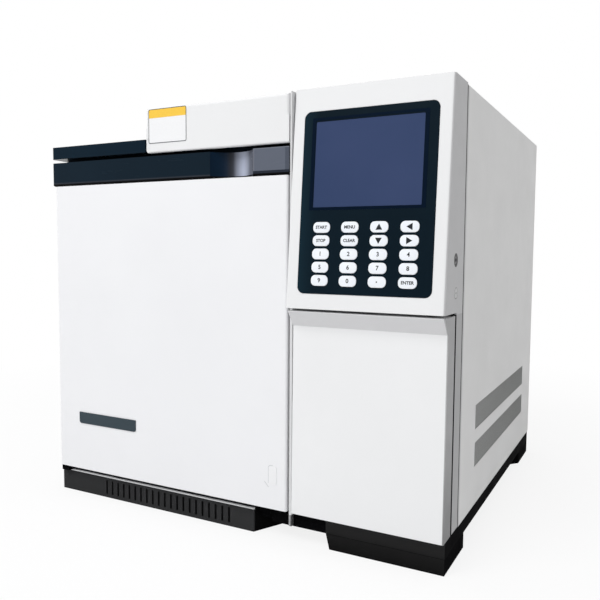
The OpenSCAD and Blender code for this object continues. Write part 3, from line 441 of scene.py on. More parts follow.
def key_silicone(name):
    """Pale keypad rubber with a soft satin skin."""
    rubber = Finish(name, (0.83, 0.86, 0.9), 0.5, specular=0.4).soft_edges(0.9)
    rubber.surface.inputs["Subsurface Weight"].default_value = 0.12
    rubber.surface.inputs["Subsurface Radius"].default_value = (0.004, 0.004, 0.005)
    rubber.surface.inputs["Subsurface Scale"].default_value = 0.2
    rubber.color_between(rubber.noise(30, 3), (0.79, 0.82, 0.87), (0.84, 0.87, 0.91))
    rubber.roughness_between(rubber.noise(180, 3), 0.44, 0.58)
    return rubber.bump(rubber.noise(1900, 2), 0.02, 0.4)


def printed_ink(name, color, roughness=0.55, cover=0.82):
    """Screen-printed ink, a little uneven in cover."""
    ink = Finish(name, color, roughness, specular=0.2)
    thin = [channel * cover for channel in color]
    dulled = ink.noise(90, 3)
    return ink.patterned(thin, ink.noise(500, 3), dulled, (0.06, 0.08), ink.noise(2600, 2), 0.008, 0.4)


def satin_slate(name, color, shade, roughness=0.35, specular=0.15):
    """Hard-coated moulding, brushed lengthways very lightly."""
    slate = Finish(name, color, roughness, specular=specular).soft_edges(0.4)
    lines = slate.noise(240, 4, 0.6, slate.stretched(0.1, 1, 1))
    return slate.patterned(shade, slate.noise(14, 4), lines, (0.06, 0.1), lines, 0.01, 0.3)


def board_lacquer(name):
    """Green solder mask with fine tracks under it."""
    mask = Finish(name, (0.03, 0.2, 0.1), 0.38)
    tracks = mask.cells(190, mask.stretched(1, 1, 0.5))
    return mask.color_between(tracks, (0.02, 0.13, 0.07), (0.05, 0.26, 0.13)).bump(tracks, 0.05, 0.5)


def column_lacquer(name):
    """Polyimide-coated silica: clear amber over a pale core."""
    lacquer = Finish(name, (0.42, 0.2, 0.045), 0.22, coat=0.5)
    lacquer.color_between(lacquer.noise(55, 3), (0.34, 0.15, 0.03), (0.5, 0.26, 0.07))
    return lacquer.bump(lacquer.noise(800, 2), 0.02, 0.3)


def door_trim():
    """Slate moulding: painted shade on its lower chamfer, a painted highlight in the scoop, and a grey end
    block whose grey is a painted reflection.
    """
    trim = glossy_moulding("trim_slate", (0.0058, 0.0148, 0.0248), (0.0048, 0.0122, 0.0208))
    low, scoop, block = TRIM_LOW, -14.2, 45.3
    # painted highlight: a lighter line along the top of the lower chamfer
    trim.paint((0.026, 0.031, 0.04), z=(low + 2.9, low + 4.5))
    # painted highlight across the scoop: from dark slate at its left edge up to light grey, and down again
    # before the end block
    before_highlight = [(scoop, (0.0015, 0.0105, 0.026)), (-7, (0.002, 0.0115, 0.027)),
              (-2.5, (0.0045, 0.0135, 0.03)), (1, (0.011, 0.02, 0.037))]
    highlight_levels = ((5.6, 0.03), (8.1, 0.045), (9.5, 0.07), (11, 0.135), (13, 0.22), (18, 0.38), (22, 0.46),
            (25, 0.45), (30, 0.32), (33.4, 0.19), (36.5, 0.13), (45.4, 0.1))
    painted_highlight = trim.graded(X, before_highlight + [(x, (level * 0.925, level, level * 1.23)) for x, level in highlight_levels])
    trim.paint(painted_highlight, x=(scoop, block), y=(FRONT + 0.3, None), z=(None, 445.7))
    # painted reflection: the end block's face is painted grey
    trim.paint((0.112, 0.126, 0.16), x=(block, None))
    # painted highlight up the end block's left edge
    trim.paint((0.17, 0.18, 0.215), x=(block, block + 1))
    # the end block is painted darker over its last few millimetres at the right
    trim.paint((0.075, 0.086, 0.112), x=(86.2, None))
    # painted shade along the end block's bottom
    trim.paint((0.02, 0.025, 0.036), x=(block, None), z=(low + 1.5, low + 5.6))
    # painted highlight along the end block's top edge
    trim.paint((0.16, 0.175, 0.21), x=(block, None), z=(445.1, None))
    # painted shade: the lower chamfer, which faces down, is near black
    return trim.paint((0.0008, 0.0008, 0.001), z=(None, low + 2.7))


def side_fitting():
    """Black socket collar above, pale blanking plug with a drilled middle below."""
    fitting = moulded_plastic("fitting_plastic", (0.014, 0.0145, 0.016), (0.01, 0.0105, 0.0115))
    fitting.paint((0.2, 0.2, 0.2), z=(None, (PLUG[1] + SOCKET[1]) / 2))
    fitting.painted_over(fitting.near_axis(*PLUG, 5.3), (0.6, 0.605, 0.605))
    return fitting.painted_over(fitting.near_axis(*PLUG, 1.1), (0.04, 0.04, 0.04))


def make_finishes():
    """Every finish the instrument wears, by a short name."""
    slate, slate_shade = (0.0037, 0.0135, 0.0245), (0.0027, 0.0105, 0.02)
    cover, cover_shade = (0.765, 0.765, 0.76), (0.745, 0.745, 0.74)
    zinc, zinc_shade = (0.55, 0.56, 0.57), (0.43, 0.44, 0.45)
    # the grain of brushed metal, along X, Y or Z
    grain_x, grain_y, grain_z = (0.05, 1, 1), (1, 0.04, 1), (1, 1, 0.03)
    made = {
        "white_sheet": powder_coat("white_powder_coat", (0.82, 0.825, 0.84), (0.8, 0.805, 0.82), 0.42, 0.3),
        "cover_sheet": powder_coat("cover_powder_coat", cover, cover_shade, 0.45, 0.3),
        "right_sheet": powder_coat("right_cover_coat", cover, cover_shade, 0.45, 0.3),
        "partition": powder_coat("partition_coat", (0.66, 0.665, 0.67), (0.64, 0.645, 0.65), 0.45, 0.3),
        "fascia": moulded_plastic(
            "fascia_moulding", (0.79, 0.795, 0.8), (0.77, 0.775, 0.78), specular=0.05),
        "lower_door": moulded_plastic(
            "lower_door_moulding", (0.82, 0.825, 0.83), (0.8, 0.805, 0.81), specular=0.05),
        "white_moulding": moulded_plastic(
            "white_moulding", (0.785, 0.79, 0.795), (0.765, 0.77, 0.775), specular=0.05),
        "grey_sheet": powder_coat("grey_sheet_paint", (0.46, 0.47, 0.49), (0.42, 0.43, 0.45)),
        "black_sheet": powder_coat(
            "black_powder_coat", (0.004, 0.004, 0.0045), (0.003, 0.003, 0.0033), 0.5, 0.02),
        "plinth_sheet": powder_coat(
            "dark_grey_powder_coat", (0.035, 0.0355, 0.0365), (0.029, 0.0295, 0.0305), 0.5, 0.05),
        "deck": glossy_moulding("deck_slate", slate, slate_shade),
        "trim": door_trim(),
        "fitting": side_fitting(),
        "stainless": brushed_metal("brushed_stainless", (0.6, 0.6, 0.6), (0.47, 0.47, 0.47), grain_z),
        "bare_sheet": brushed_metal("zinc_coated_sheet", zinc, zinc_shade, grain_x, 0.42),
        "shell": brushed_metal("oven_shell_sheet", zinc, zinc_shade, grain_x, 0.42),
        "fan_sheet": brushed_metal("pressed_fan_sheet", (0.62, 0.62, 0.63), (0.5, 0.5, 0.51), grain_y, 0.38),
        "heater": heat_tinted("heater_sheath"),
        "motor": powder_coat("motor_casting", (0.085, 0.09, 0.1), (0.065, 0.07, 0.08), 0.55),
        "brass": turned_metal("machined_brass", (0.66, 0.52, 0.29), (0.6, 0.46, 0.25), 0.3),
        "chrome": turned_metal("plated_steel", (0.66, 0.66, 0.67), (0.52, 0.52, 0.53), 0.18),
        "bush": turned_metal("blackened_steel", (0.13, 0.13, 0.135), (0.09, 0.09, 0.095), 0.3),
        "pipe": turned_metal("drawn_steel_pipe", (0.6, 0.6, 0.6), (0.46, 0.46, 0.47), 0.24),
        "inlet": moulded_plastic("mains_inlet_plastic", (0.014, 0.0145, 0.016), (0.01, 0.0105, 0.0115)),
        "wool": fibre_board("ceramic_wool", (0.78, 0.74, 0.62), (0.62, 0.57, 0.46)),
        "braid": braided_seal("braided_seal"),
        "overlay": overlay_film("navy_overlay"),
        "display": display_glass("display_window"),
        "key": key_silicone("key_silicone"),
        "knob": moulded_plastic("knob_plastic", (0.016, 0.017, 0.019), (0.011, 0.012, 0.013), 0.4),
        "foot": moulded_plastic(
            "foot_plastic", (0.0055, 0.0055, 0.006), (0.004, 0.004, 0.0045), 0.6, 900, specular=0.02),
        "rocker": glossy_moulding("rocker_red", (0.36, 0.012, 0.014), (0.3, 0.01, 0.012)),
        "board": board_lacquer("board_lacquer"),
        "column": column_lacquer("column_lacquer"),
        "legend_ink": printed_ink("legend_ink", (0.012, 0.014, 0.018)),
        "white_ink": printed_ink("white_ink", (0.8, 0.8, 0.8)),
        "strip": glossy_moulding("name_strip_slate", (0.042, 0.06, 0.072), (0.036, 0.052, 0.063), 0.3, 0.1),
        "label_stock": printed_ink("label_stock", (0.83, 0.835, 0.845), 0.4, 0.97),
        "label_line": printed_ink("label_line", (0.07, 0.08, 0.09), 0.5),
        "label_band": printed_ink("label_band", (0.88, 0.56, 0.07), 0.45, 0.94),
        "faint_line": printed_ink("faint_line", (0.6, 0.61, 0.62), 0.5, 0.92),
        "screen_frame": satin_slate(
            "screen_frame_navy", (0.0012, 0.0065, 0.0175), (0.001, 0.0055, 0.0155), 0.35, 0.03),
        # painted shade: the vent rims and slats are greyer than the cover, for the shade in the vent openings
        "vent_rim": powder_coat("vent_rim_grey", (0.2, 0.205, 0.205), (0.17, 0.175, 0.175), 0.5, 0.15),
        "slat": powder_coat("vent_slat_grey", (0.47, 0.48, 0.472), (0.43, 0.44, 0.432), 0.5, 0.15),
        "cage_wire": brushed_metal("cage_wire", (0.56, 0.56, 0.56), (0.44, 0.44, 0.45), (1, 1, 0.2), 0.3),
    }
    paint_zones(made)
    # dull dark finishes reflect little, even at a low angle
    dull = {"foot": 1.08, "black_sheet": 1.1, "plinth_sheet": 1.2, "deck": 1.3, "trim": 1.3}
    for name, index in dull.items():
        made[name].surface.inputs["IOR"].default_value = index
    return {name: finish.material for name, finish in made.items()}


def paint_zones(made):
    """Painted light and shade on single faces and edges: shade on returns, the finger lip, seams and
    undersides, highlights on edges and rims, and the partition's foot and the inlet's blades in their own
    colours.
    """
    fascia, door, side, wall, plinth, film, pan, foot = (made[name] for name in (
        "fascia", "lower_door", "right_sheet", "partition", "plinth_sheet", "overlay", "black_sheet", "foot"))
    seam_shade, under_deck_shade = (0.025, 0.025, 0.026), (0.005, 0.01, 0.0165)
    # painted shade: the fascia's right-hand side face is greyer than its front, darker still on the lower
    # strip
    fascia.paint(grey(0.585), x=(SIDE - 1.5, None), z=(DOOR_TOP + 1, None))
    fascia.paint(grey(0.48), x=(SIDE - 1.5, None), y=(FRONT + 29, None), z=(None, DOOR_TOP + 1))
    # painted shade in the seams: the fascia's rear edge, and the gap behind the lower door's return
    fascia.paint(seam_shade, y=(FASCIA_REAR - 0.6, None))
    fascia.paint(seam_shade, x=(SIDE - 60, None), y=(FRONT + 24, FRONT + 30.4), z=(None, DOOR_TOP + 1))
    # painted shade on the lower door's finger lip, which leans back under the fascia; its top edge stays
    # lighter
    door.paint(grey(0.7), y=(None, FRONT + 3), z=(DOOR_TOP - 17.4, DOOR_TOP - 1.2))
    # painted shade on the lower door's right-hand return, darker towards the bottom
    down = ((36, 0.27), (60, 0.29), (120, 0.4), (150, 0.44), (267, 0.45))
    door.paint(door.graded(Z, [(z, grey(level)) for z, level in down]), x=(SIDE - 1.4, None))
    # painted shade along the right-hand cover's front edge: near black at the seam, lighter over the next few
    # millimetres
    edge = ((0, 0.03), (0.6, 0.03), (0.8, 0.44), (5, 0.58), (6, 0.75))
    side.paint(side.graded(Y, [(COVER_EDGE + y, grey(level)) for y, level in edge]), y=(None, COVER_EDGE + 6))
    # the partition's foot in bare metal grey, and painted shade on its right-hand side
    wall.paint(grey(0.33), z=(None, 33))
    wall.paint(grey(0.08), x=(94, None), z=(None, 33))
    # painted highlight along the plinth's top edge; painted shade on the plinth's end right of x = 41.7
    plinth.paint(grey(0.78), y=(None, FRONT + 12), z=(27.1, None))
    plinth.paint(grey(0.003), x=(41.7, None))
    # painted shade under the deck, and on the shell's front above the trim, seen through the gap
    made["deck"].paint(under_deck_shade, z=(None, DECK_LOW + 0.4))
    made["shell"].paint(under_deck_shade, y=(None, FRONT + 26), z=(440, None))
    # painted light: the base pan's and the feet's front faces are lighter than the rest of them, more so
    # towards the top
    upper, lower = [(17, grey(0.0165)), (33, grey(0.031))], [(0, grey(0.0085)), (17.5, grey(0.0135))]
    pan.paint(pan.graded(Z, upper), x=(135, None), y=(None, PAN_FRONT + 0.4))
    foot.paint(foot.graded(Z, lower), y=(None, FOOT_FRONT + 0.4))
    # painted highlight on the overlay's raised left rim, fading towards the middle
    glow = [(108.5, (0.005, 0.0175, 0.0275)), (113, (0.0042, 0.015, 0.024)), (126, (0.0021, 0.0085, 0.0148))]
    film.paint(film.graded(X, glow), x=(None, 126))
    made["inlet"].paint((0.62, 0.55, 0.4), x=(202.5, 215.5), y=(231.5, 246.5), z=(83, 98.5))


FINISHES = make_finishes()
FINISH_OF = {
    "white_sheet": ["oven_door_skin"],
    "cover_sheet": ["left_cover", "rear_panel"],
    "right_sheet": ["right_cover"],
    "partition": ["centre_partition"],
    "fascia": ["column_fascia"],
    "lower_door": ["lower_door"],
    "white_moulding": ["injector_cover"],
    "grey_sheet": ["flow_panel", "exhaust_flap"],
    "black_sheet": ["base_pan", "hinge_brackets"],
    "plinth_sheet": ["front_plinth"],
    "foot": ["feet"],
    "deck": ["top_deck"],
    "trim": ["oven_door_trim"],
    "stainless": ["oven_liner", "fan_baffle", "oven_door_plug", "detector"],
    "bare_sheet": ["exhaust_duct"],
    "shell": ["oven_shell"],
    "fan_sheet": ["oven_fan"],
    "heater": ["heater_coil"],
    "motor": ["fan_motor"],
    "brass": ["injector", "flow_valves", "rear_fittings"],
    "wool": ["oven_insulation"],
    "braid": ["oven_door_gasket"],
    "overlay": ["operator_bezel"],
    "display": ["display_screen"],
    "board": ["electronics"],
    "column": ["capillary_column"],
    "inlet": ["power_inlet"],
    "fitting": ["side_fittings"],
    "rocker": ["power_switch"],
    "knob": [f"flow_knob_{i}" for i in (1, 2, 3)],
    "key": [f"key_{i}" for i in range(1, 21)],
}


def dress_nodes():
    """Gives every CAD piece its finish."""
    for finish, names in FINISH_OF.items():
        for name in names:
            materials = NODES[name].data.materials
            materials.clear()
            materials.append(FINISHES[finish])


# ---------------------------------------------------------------- making pieces

def add_piece(name, mesh, body, finish=None):
    """Puts a finished mesh into the scene, riding on a body of the model."""
    piece = add_object(name, mesh)
    if finish:
        mesh.materials.append(FINISHES[finish])
    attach(piece, body)
    return piece


def rounded_outline(width, height, radius, steps=6):
    """A rectangle with round corners, anticlockwise from the top right; radius is one number or four."""
    points = []
    for turn, (right, top) in enumerate(((1, 1), (-1, 1), (-1, -1), (1, -1))):
        bend = radius[turn] if isinstance(radius, tuple) else radius
        middle = Vector(((width / 2 - bend) * right, (height / 2 - bend) * top))
        points += [middle + polar(bend, math.pi / 2 * (turn + step / steps)) for step in range(steps + 1)]
    return points


def solid_from(curve, thickness):
    """The solid between z = 0 and z = thickness that a flat curve or text outlines."""
    curve.extrude = thickness / 2
    mesh = plain_mesh(add_object("outline", curve))
    mesh.transform(Matrix.Translation((0, 0, thickness / 2)))
    mesh.materials.clear()
    return mesh


def extruded(outline, thickness, holes=()):
    """A flat solid between z = 0 and z = thickness, with optional holes in it."""
    curve = bpy.data.curves.new("outline", "CURVE")
    curve.dimensions = "2D"
    curve.fill_mode = "BOTH"
    for loop in (outline, *holes):
        spline = curve.splines.new("POLY")
        spline.points.add(len(loop) - 1)
        for point, place in zip(spline.points, loop):
            point.co = (place[0], place[1], 0, 1)
        spline.use_cyclic_u = True
    return solid_from(curve, thickness)


def figure(text, size, thickness):
    """A printed character or word, centred on the origin, as a thin solid."""
    curve = bpy.data.curves.new("figure", "FONT")
    curve.body = text
    curve.size = size
    curve.align_x = curve.align_y = "CENTER"
    curve.offset = size * (0.03 if len(text) > 1 else 0.022)
    curve.resolution_u = 4
    return solid_from(curve, thickness)


class LeaningPanel:
    """The operator panel's plane, taken from the way its keys travel."""

    def __init__(self):
        self.into = Vector(JOINTS["key_1_press"]["axis"]).normalized()
        self.up = Vector((1, 0, 0)).cross(self.into)
        self.up.normalize()
        if self.up.z < 0:
            self.up.negate()

    def extent(self, node):
        """(left, right), (low, high) and (outer, inner) of a node, along the panel's own axes."""
        places = [vertex.co for vertex in NODES[node].data.vertices]
        spans = [[place.dot(axis) for place in places] for axis in (Vector((1, 0, 0)), self.up, self.into)]
        return [(min(span), max(span)) for span in spans]

    def at(self, x, height, depth):
        """Matrix that lays a flat mesh on the panel, its Z coming out of it."""
        origin = Vector((x, 0, 0)) + self.up * height + self.into * depth
        return along_axes((1, 0, 0), self.up, -self.into, origin)


# ---------------------------------------------------------------- key legends

def arrowhead(size, angle):
    """A solid triangle that points along angle, in degrees from the right."""
    spin = Matrix.Rotation(math.radians(angle), 2)
    return [spin @ corner for corner in (
        Vector((size * 0.5, 0)), Vector((-size * 0.45, size * 0.55)), Vector((-size * 0.45, -size * 0.55)))]


def disc(radius, count=20):
    """A round outline."""
    return [polar(radius, 2 * math.pi * step / count) for step in range(count)]


def key_marks():
    """What is printed on each key: an outline, or plain words and figures with their size."""
    word, number, arrow = 4.5 * MM, 6.2 * MM, 6.6 * MM
    marks = [("START", word), ("MENU", word), arrowhead(arrow, 90), arrowhead(arrow, 180),
             ("STOP", word), ("CLEAR", word), arrowhead(arrow, -90), arrowhead(arrow, 0)]
    marks += [(digit, number) for digit in "1234567890"]
    return marks + [disc(0.75 * MM), ("ENTER", word)]


def print_keys(panel, ink):
    """Lays each key's mark on its crowned face, following the crown."""
    for index, mark in enumerate(key_marks(), start=1):
        node = f"key_{index}"
        (left, right), (low, high), (outer, _) = panel.extent(node)
        mesh = figure(*mark, INK) if isinstance(mark, tuple) else extruded(mark, INK)
        shape = bmesh.new()
        shape.from_mesh(mesh)
        bmesh.ops.triangulate(shape, faces=shape.faces)
        bmesh.ops.subdivide_edges(shape, edges=[e for e in shape.edges if e.calc_length() > 0.8 * MM], cuts=3)
        bmesh.ops.triangulate(shape, faces=shape.faces)
        for vertex in shape.verts:
            vertex.co.z -= (vertex.co.x ** 2 + vertex.co.y ** 2) / (2 * KEY_CROWN) + 0.07 * MM
        shape.to_mesh(mesh)
        shape.free()
        mesh.transform(panel.at((left + right) / 2, (low + high) / 2, outer))
        add_piece(f"legend_{index}", mesh, node, ink)


# ---------------------------------------------------------------- labels and strips

def lay_on_front(name, body, finish, centre, size, radius, thickness, front, hole=0):
    """A thin plate with round corners on an upright face at y = front; hole leaves only its rim."""
    holes = ()
    if hole:
        inner = rounded_outline(size[0] - 2 * hole, size[1] - 2 * hole, max(radius - hole, 0.1 * MM))
        holes = (inner[::-1],)
    mesh = extruded(rounded_outline(*size, radius), thickness, holes)
    mesh.transform(facing_front(centre[0], front, centre[1]))
    return add_piece(name, mesh, body, finish)


def add_labels():
    """The bare name strip on the oven door, and the bare label with its band and border on the cover."""
    door_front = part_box("oven_door_skin")[0].y
    cover_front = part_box("injector_cover")[0].y
    strip_corners = (0.6 * MM, 0.6 * MM, 3 * MM, 3 * MM)
    strip = lay_on_front(
        "name_strip", "oven_door", "strip",
        (-178.8 * MM, 107 * MM), (97.5 * MM, 15 * MM), strip_corners, 0.9 * MM, door_front)
    soften(strip, 0.25 * MM)
    latch_mark(door_front)
    centre, size, corner = (-76 * MM, 481.5 * MM), (57 * MM, 41 * MM), 2.2 * MM
    sheet, rim, band = 0.12 * MM, 0.75 * MM, 10 * MM
    lay_on_front("cover_label", "injector_cover", "label_stock",
                 centre, size, corner, sheet, cover_front)
    band_place = (centre[0], centre[1] + (size[1] - band) / 2 - rim)
    band_corners = (1.6 * MM, 1.6 * MM, 0.1 * MM, 0.1 * MM)
    lay_on_front("cover_label_band", "injector_cover", "label_band",
                 band_place, (size[0] - 2 * rim, band), band_corners, 1.5 * sheet, cover_front)
    lay_on_front("cover_label_line", "injector_cover", "label_line",
                 centre, size, corner, 2 * sheet, cover_front, rim)


def ribbon(places, width):
    """A strip of the given width along a flat path, as an outline."""
    left, right = [], []
    for index, place in enumerate(places):
        along = heading(places, index)
        side = Vector((-along.y, along.x)) * width / 2
        left.append(place + side)
        right.append(place - side)
    return right + left[::-1]


def latch_mark(front):
    """A small raised tongue low on the oven door, a grey hairline of painted shade along its top and left,
    and a tick below.
    """
    middle, size = Vector((72 * MM, 76 * MM)), (10 * MM, 22 * MM)
    tongue = lay_on_front("latch_tongue", "oven_door", "label_stock",
                          middle, size, 2.4 * MM, 0.5 * MM, front)
    soften(tongue, 0.3 * MM)
    # painted shade: a grey hairline along the tongue's left and top edges; the tick below is a mark
    left, top, bend = -size[0] / 2 - 0.4 * MM, size[1] / 2 + 0.4 * MM, 2.6 * MM
    path = [Vector((left, -size[1] / 2 + 1.5 * MM)), Vector((left, 0))]
    middle_of_bend = Vector((left + bend, top - bend))
    path += [middle_of_bend + polar(bend, math.radians(180 - 15 * step)) for step in range(7)]
    path.append(Vector((0.5 * MM, top)))
    tick = [Vector((-10.7 * MM, -8.2 * MM)), Vector((-8.3 * MM, -11 * MM)), Vector((-5.4 * MM, -14.2 * MM))]
    mesh = joined([extruded(ribbon(places, 0.8 * MM), 0.12 * MM) for places in (path, tick)])
    mesh.transform(facing_front(middle.x, front, middle.y))
    add_piece("latch_shade_and_tick", mesh, "oven_door", "faint_line")


def soften(piece, width, segments=2):
    """A bevel on every sharp edge of a piece."""
    bevel = piece.modifiers.new("edge", "BEVEL")
    bevel.width = width
    bevel.segments = segments


def frame_screen(panel):
    """The navy border printed on the overlay around the display window."""
    (left, right), (low, high), _ = panel.extent("display_screen")
    outer = panel.extent("operator_bezel")[2][0]
    # the window itself is smaller than the flange behind it
    width, height = right - left - 6 * MM, high - low - 6 * MM
    border = 4.4 * MM
    ring = extruded(rounded_outline(width + 2 * border, height + 1.5 * border, 1.2 * MM), 0.1 * MM,
                    (rounded_outline(width + 0.5 * MM, height + 0.5 * MM, 1.4 * MM)[::-1],))
    ring.transform(panel.at((left + right) / 2, (low + high) / 2 + 0.2 * border, outer))
    add_piece("screen_border", ring, "housing", "screen_frame")


def line_socket():
    """A dark bush with a rolled lip, let into the socket's collar on the right-hand side."""
    # distance from the axis, and height above the side's face
    profile = [(1.9, -0.6), (1.9, -0.12), (2.15, 0), (2.5, 0), (2.7, -0.22), (3.1, -0.3), (3.3, -0.08),
               (3.85, -0.08), (3.85, -0.6)]
    around = 36
    rings = []
    for turn in (2 * math.pi * step / around for step in range(around)):
        places = ((SIDE + rise, *(Vector(SOCKET) + polar(reach, turn))) for reach, rise in profile)
        rings.append([Vector(place) * MM for place in places])
    mesh = skinned("socket_bush", rings, closed=True)
    add_piece("socket_bush", mesh, "housing", "bush")


# ---------------------------------------------------------------- grown patterns: screws, slats, windings

class Growth:
    """A geometry tree with named inputs; it makes its instances real and gives them its Finish input."""

    def __init__(self, name, numbers, counts=()):
        self.tree = bpy.data.node_groups.new(name, "GeometryNodeTree")
        kinds = [("Geometry", "Geometry")] + [(label, "Float") for label in numbers]
        for label, kind in kinds + [(label, "Int") for label in counts] + [("Finish", "Material")]:
            self.tree.interface.new_socket(label, in_out="INPUT", socket_type="NodeSocket" + kind)
        self.tree.interface.new_socket("Geometry", in_out="OUTPUT", socket_type="NodeSocketGeometry")
        self.given = self.tree.nodes.new("NodeGroupInput").outputs

    def node(self, kind, inputs=None, **settings):
        return add_node(self.tree, "GeometryNode" + kind, inputs, **settings)

    def vector(self, x=0.0, y=0.0, z=0.0):
        return add_node(self.tree, "ShaderNodeCombineXYZ", {X: x, Y: y, Z: z}).outputs[0]

    def times(self, value, factor):
        return maths(self.tree, "MULTIPLY", value, factor)

    def circle(self, sides, radius):
        return self.node("CurvePrimitiveCircle", {"Resolution": sides, "Radius": radius}).outputs[0]

    def wire(self, curve, profile):
        return self.node("CurveToMesh", {
            "Curve": curve, "Profile Curve": profile, "Fill Caps": True}).outputs[0]

    def on_points(self, points, instance, **inputs):
        return self.node("InstanceOnPoints", {"Points": points, "Instance": instance, **inputs}).outputs[0]

    def finished(self, geometry):
        real = self.node("RealizeInstances", {0: geometry})
        paint = self.node("SetMaterial", {"Geometry": real.outputs[0], "Material": self.given["Finish"]})
        self.tree.links.new(paint.outputs[0], self.tree.nodes.new("NodeGroupOutput").inputs[0])
        return self.tree


def screw_tree():
    """Puts a pan-head screw with a cross recess on each triangle's first corner, along its normal."""
    grow = Growth("screws_on_points", ("Head Radius", "Head Height"))
    radius, height = grow.given["Head Radius"], grow.given["Head Height"]
    head = grow.node("MeshCone", {"Vertices": 20, "Radius Top": grow.times(radius, 0.74),
                                  "Radius Bottom": radius, "Depth": height})
    recess = grow.node("MeshBoolean", {"Mesh 1": head.outputs["Mesh"]}, operation="DIFFERENCE")
    for shares in ((1.0, 0.2), (0.2, 1.0)):
        size = grow.vector(grow.times(radius, shares[0]), grow.times(radius, shares[1]), height)
        arm = grow.node("MeshCube", {"Size": size}).outputs["Mesh"]
        lift = grow.node("Transform", {"Geometry": arm, "Translation": grow.vector(z=height)})
        grow.tree.links.new(lift.outputs[0], recess.inputs["Mesh 2"])
    normal = grow.node("InputNormal").outputs[0]
    upright = add_node(grow.tree, "FunctionNodeAlignRotationToVector", {"Vector": normal}, axis="Z")
    corner = maths(grow.tree, "MODULO", grow.node("InputIndex").outputs[0], 3)
    return grow.finished(grow.on_points(
        grow.given["Geometry"], recess.outputs["Mesh"], Rotation=upright.outputs[0],
        Selection=maths(grow.tree, "LESS_THAN", corner, 0.5)))


def slat_tree():
    """A row of upright slats along Y, each turned a little about its own length."""
    grow = Growth("row_of_slats", ("Pitch", "Slat Width", "Slat Height", "Slat Depth", "Turn"), ("Count",))
    given = grow.given
    line = grow.node("MeshLine", {"Count": given["Count"], "Offset": grow.vector(y=given["Pitch"])})
    size = grow.vector(given["Slat Depth"], given["Slat Width"], given["Slat Height"])
    slat = grow.node("MeshCube", {"Size": size, "Vertices Y": 3})
    return grow.finished(grow.on_points(
        line.outputs[0], slat.outputs["Mesh"], Rotation=grow.vector(z=given["Turn"])))


def winding_tree():
    """A wire wound side by side on a drum about Z: Turns turns, as tall as Height, Wire Radius thick."""
    grow = Growth("wound_wire", ("Drum Radius", "Turns", "Height", "Wire Radius"))
    given = grow.given
    spiral = grow.node("CurveSpiral", {
        "Resolution": 72, "Rotations": given["Turns"], "Start Radius": given["Drum Radius"],
        "End Radius": given["Drum Radius"], "Height": given["Height"]})
    return grow.finished(grow.wire(spiral.outputs[0], grow.circle(8, given["Wire Radius"])))


def cage_tree():
    """Two wire rims about Z, and upright spokes that join them."""
    grow = Growth("wire_cage", ("Rim Radius", "Half Height", "Wire Radius", "Spoke Radius"), ("Spokes",))
    given, half = grow.given, grow.given["Half Height"]
    whole = grow.node("JoinGeometry")
    rim = grow.wire(grow.circle(72, given["Rim Radius"]), grow.circle(10, given["Wire Radius"]))
    for side in (1, -1):
        lift = grow.vector(z=grow.times(half, side))
        moved = grow.node("Transform", {"Geometry": rim, "Translation": lift})
        grow.tree.links.new(moved.outputs[0], whole.inputs[0])
    stand = grow.node("MeshCircle", {"Vertices": given["Spokes"], "Radius": given["Spoke Radius"]})
    post = grow.node("MeshCylinder", {
        "Vertices": 12, "Depth": grow.times(half, 2), "Radius": given["Wire Radius"]})
    posts = grow.on_points(stand.outputs[0], post.outputs["Mesh"])
    grow.tree.links.new(posts, whole.inputs[0])
    return grow.finished(whole.outputs[0])


def grown(name, tree, settings, start=None):
    """What a tree makes from its settings, and from a mesh to start with, as a plain mesh."""
    holder = add_object(name, start or bpy.data.meshes.new(name))
    modifier = holder.modifiers.new("grow", "NODES")
    modifier.node_group = tree
    for item in tree.interface.items_tree:
        if item.name in settings:
            modifier[item.identifier] = settings[item.name]
    mesh = plain_mesh(holder)
    mesh.name = name
    return mesh


def scatter(name, places, outward, tree, settings, body):
    """Runs a points tree over places that all face outward, and keeps the result as one piece."""
    side = outward.orthogonal().normalized() * 0.01 * MM
    other = outward.cross(side)
    corners = [corner for place in places for corner in (place + side, place + other, place - side - other)]
    mesh = bpy.data.meshes.new(name)
    mesh.from_pydata(corners, [], [(k, k + 1, k + 2) for k in range(0, len(corners), 3)])
    return add_piece(name, grown(name, tree, settings, mesh), body)


# ---------------------------------------------------------------- vents, column and pipework

def slat_vents():
    """Grey slats across both vent fields of the right-hand cover, flush with its face, and their rims; their
    grey is painted shade of the vent openings.
    """
    tree = slat_tree()
    start, length, count = FRONT + 126, 309, 68
    pitch = length / count
    turned = Matrix.Rotation(QUARTER, 4, "Z") @ Matrix.Rotation(QUARTER, 4, "X")
    for index, (low, high) in enumerate(((81.4, 110.1), (126.1, 154.8)), start=1):
        tall, middle = high - low, (low + high) / 2
        slats = grown(f"vent_slats_{index}", tree, {
            "Count": count, "Pitch": pitch * MM, "Slat Width": 2.3 * MM, "Slat Height": (tall - 0.5) * MM,
            "Slat Depth": 0.4 * MM, "Turn": math.radians(5), "Finish": FINISHES["slat"]})
        slats.transform(Matrix.Translation(Vector((SIDE - 0.36, start + pitch, middle)) * MM))
        add_piece(f"vent_slats_{index}", slats, "housing")
        outer = rounded_outline((length - 0.3) * MM, (tall - 0.3) * MM, 0.3 * MM)
        inner = rounded_outline((length - 2.1) * MM, (tall - 2.1) * MM, 0.2 * MM)
        rim = extruded(outer, 0.12 * MM, (inner[::-1],))
        rim.transform(Matrix.Translation(Vector((SIDE - 0.58, start + length / 2, middle)) * MM) @ turned)
        add_piece(f"vent_rim_{index}", rim, "housing", "vent_rim")


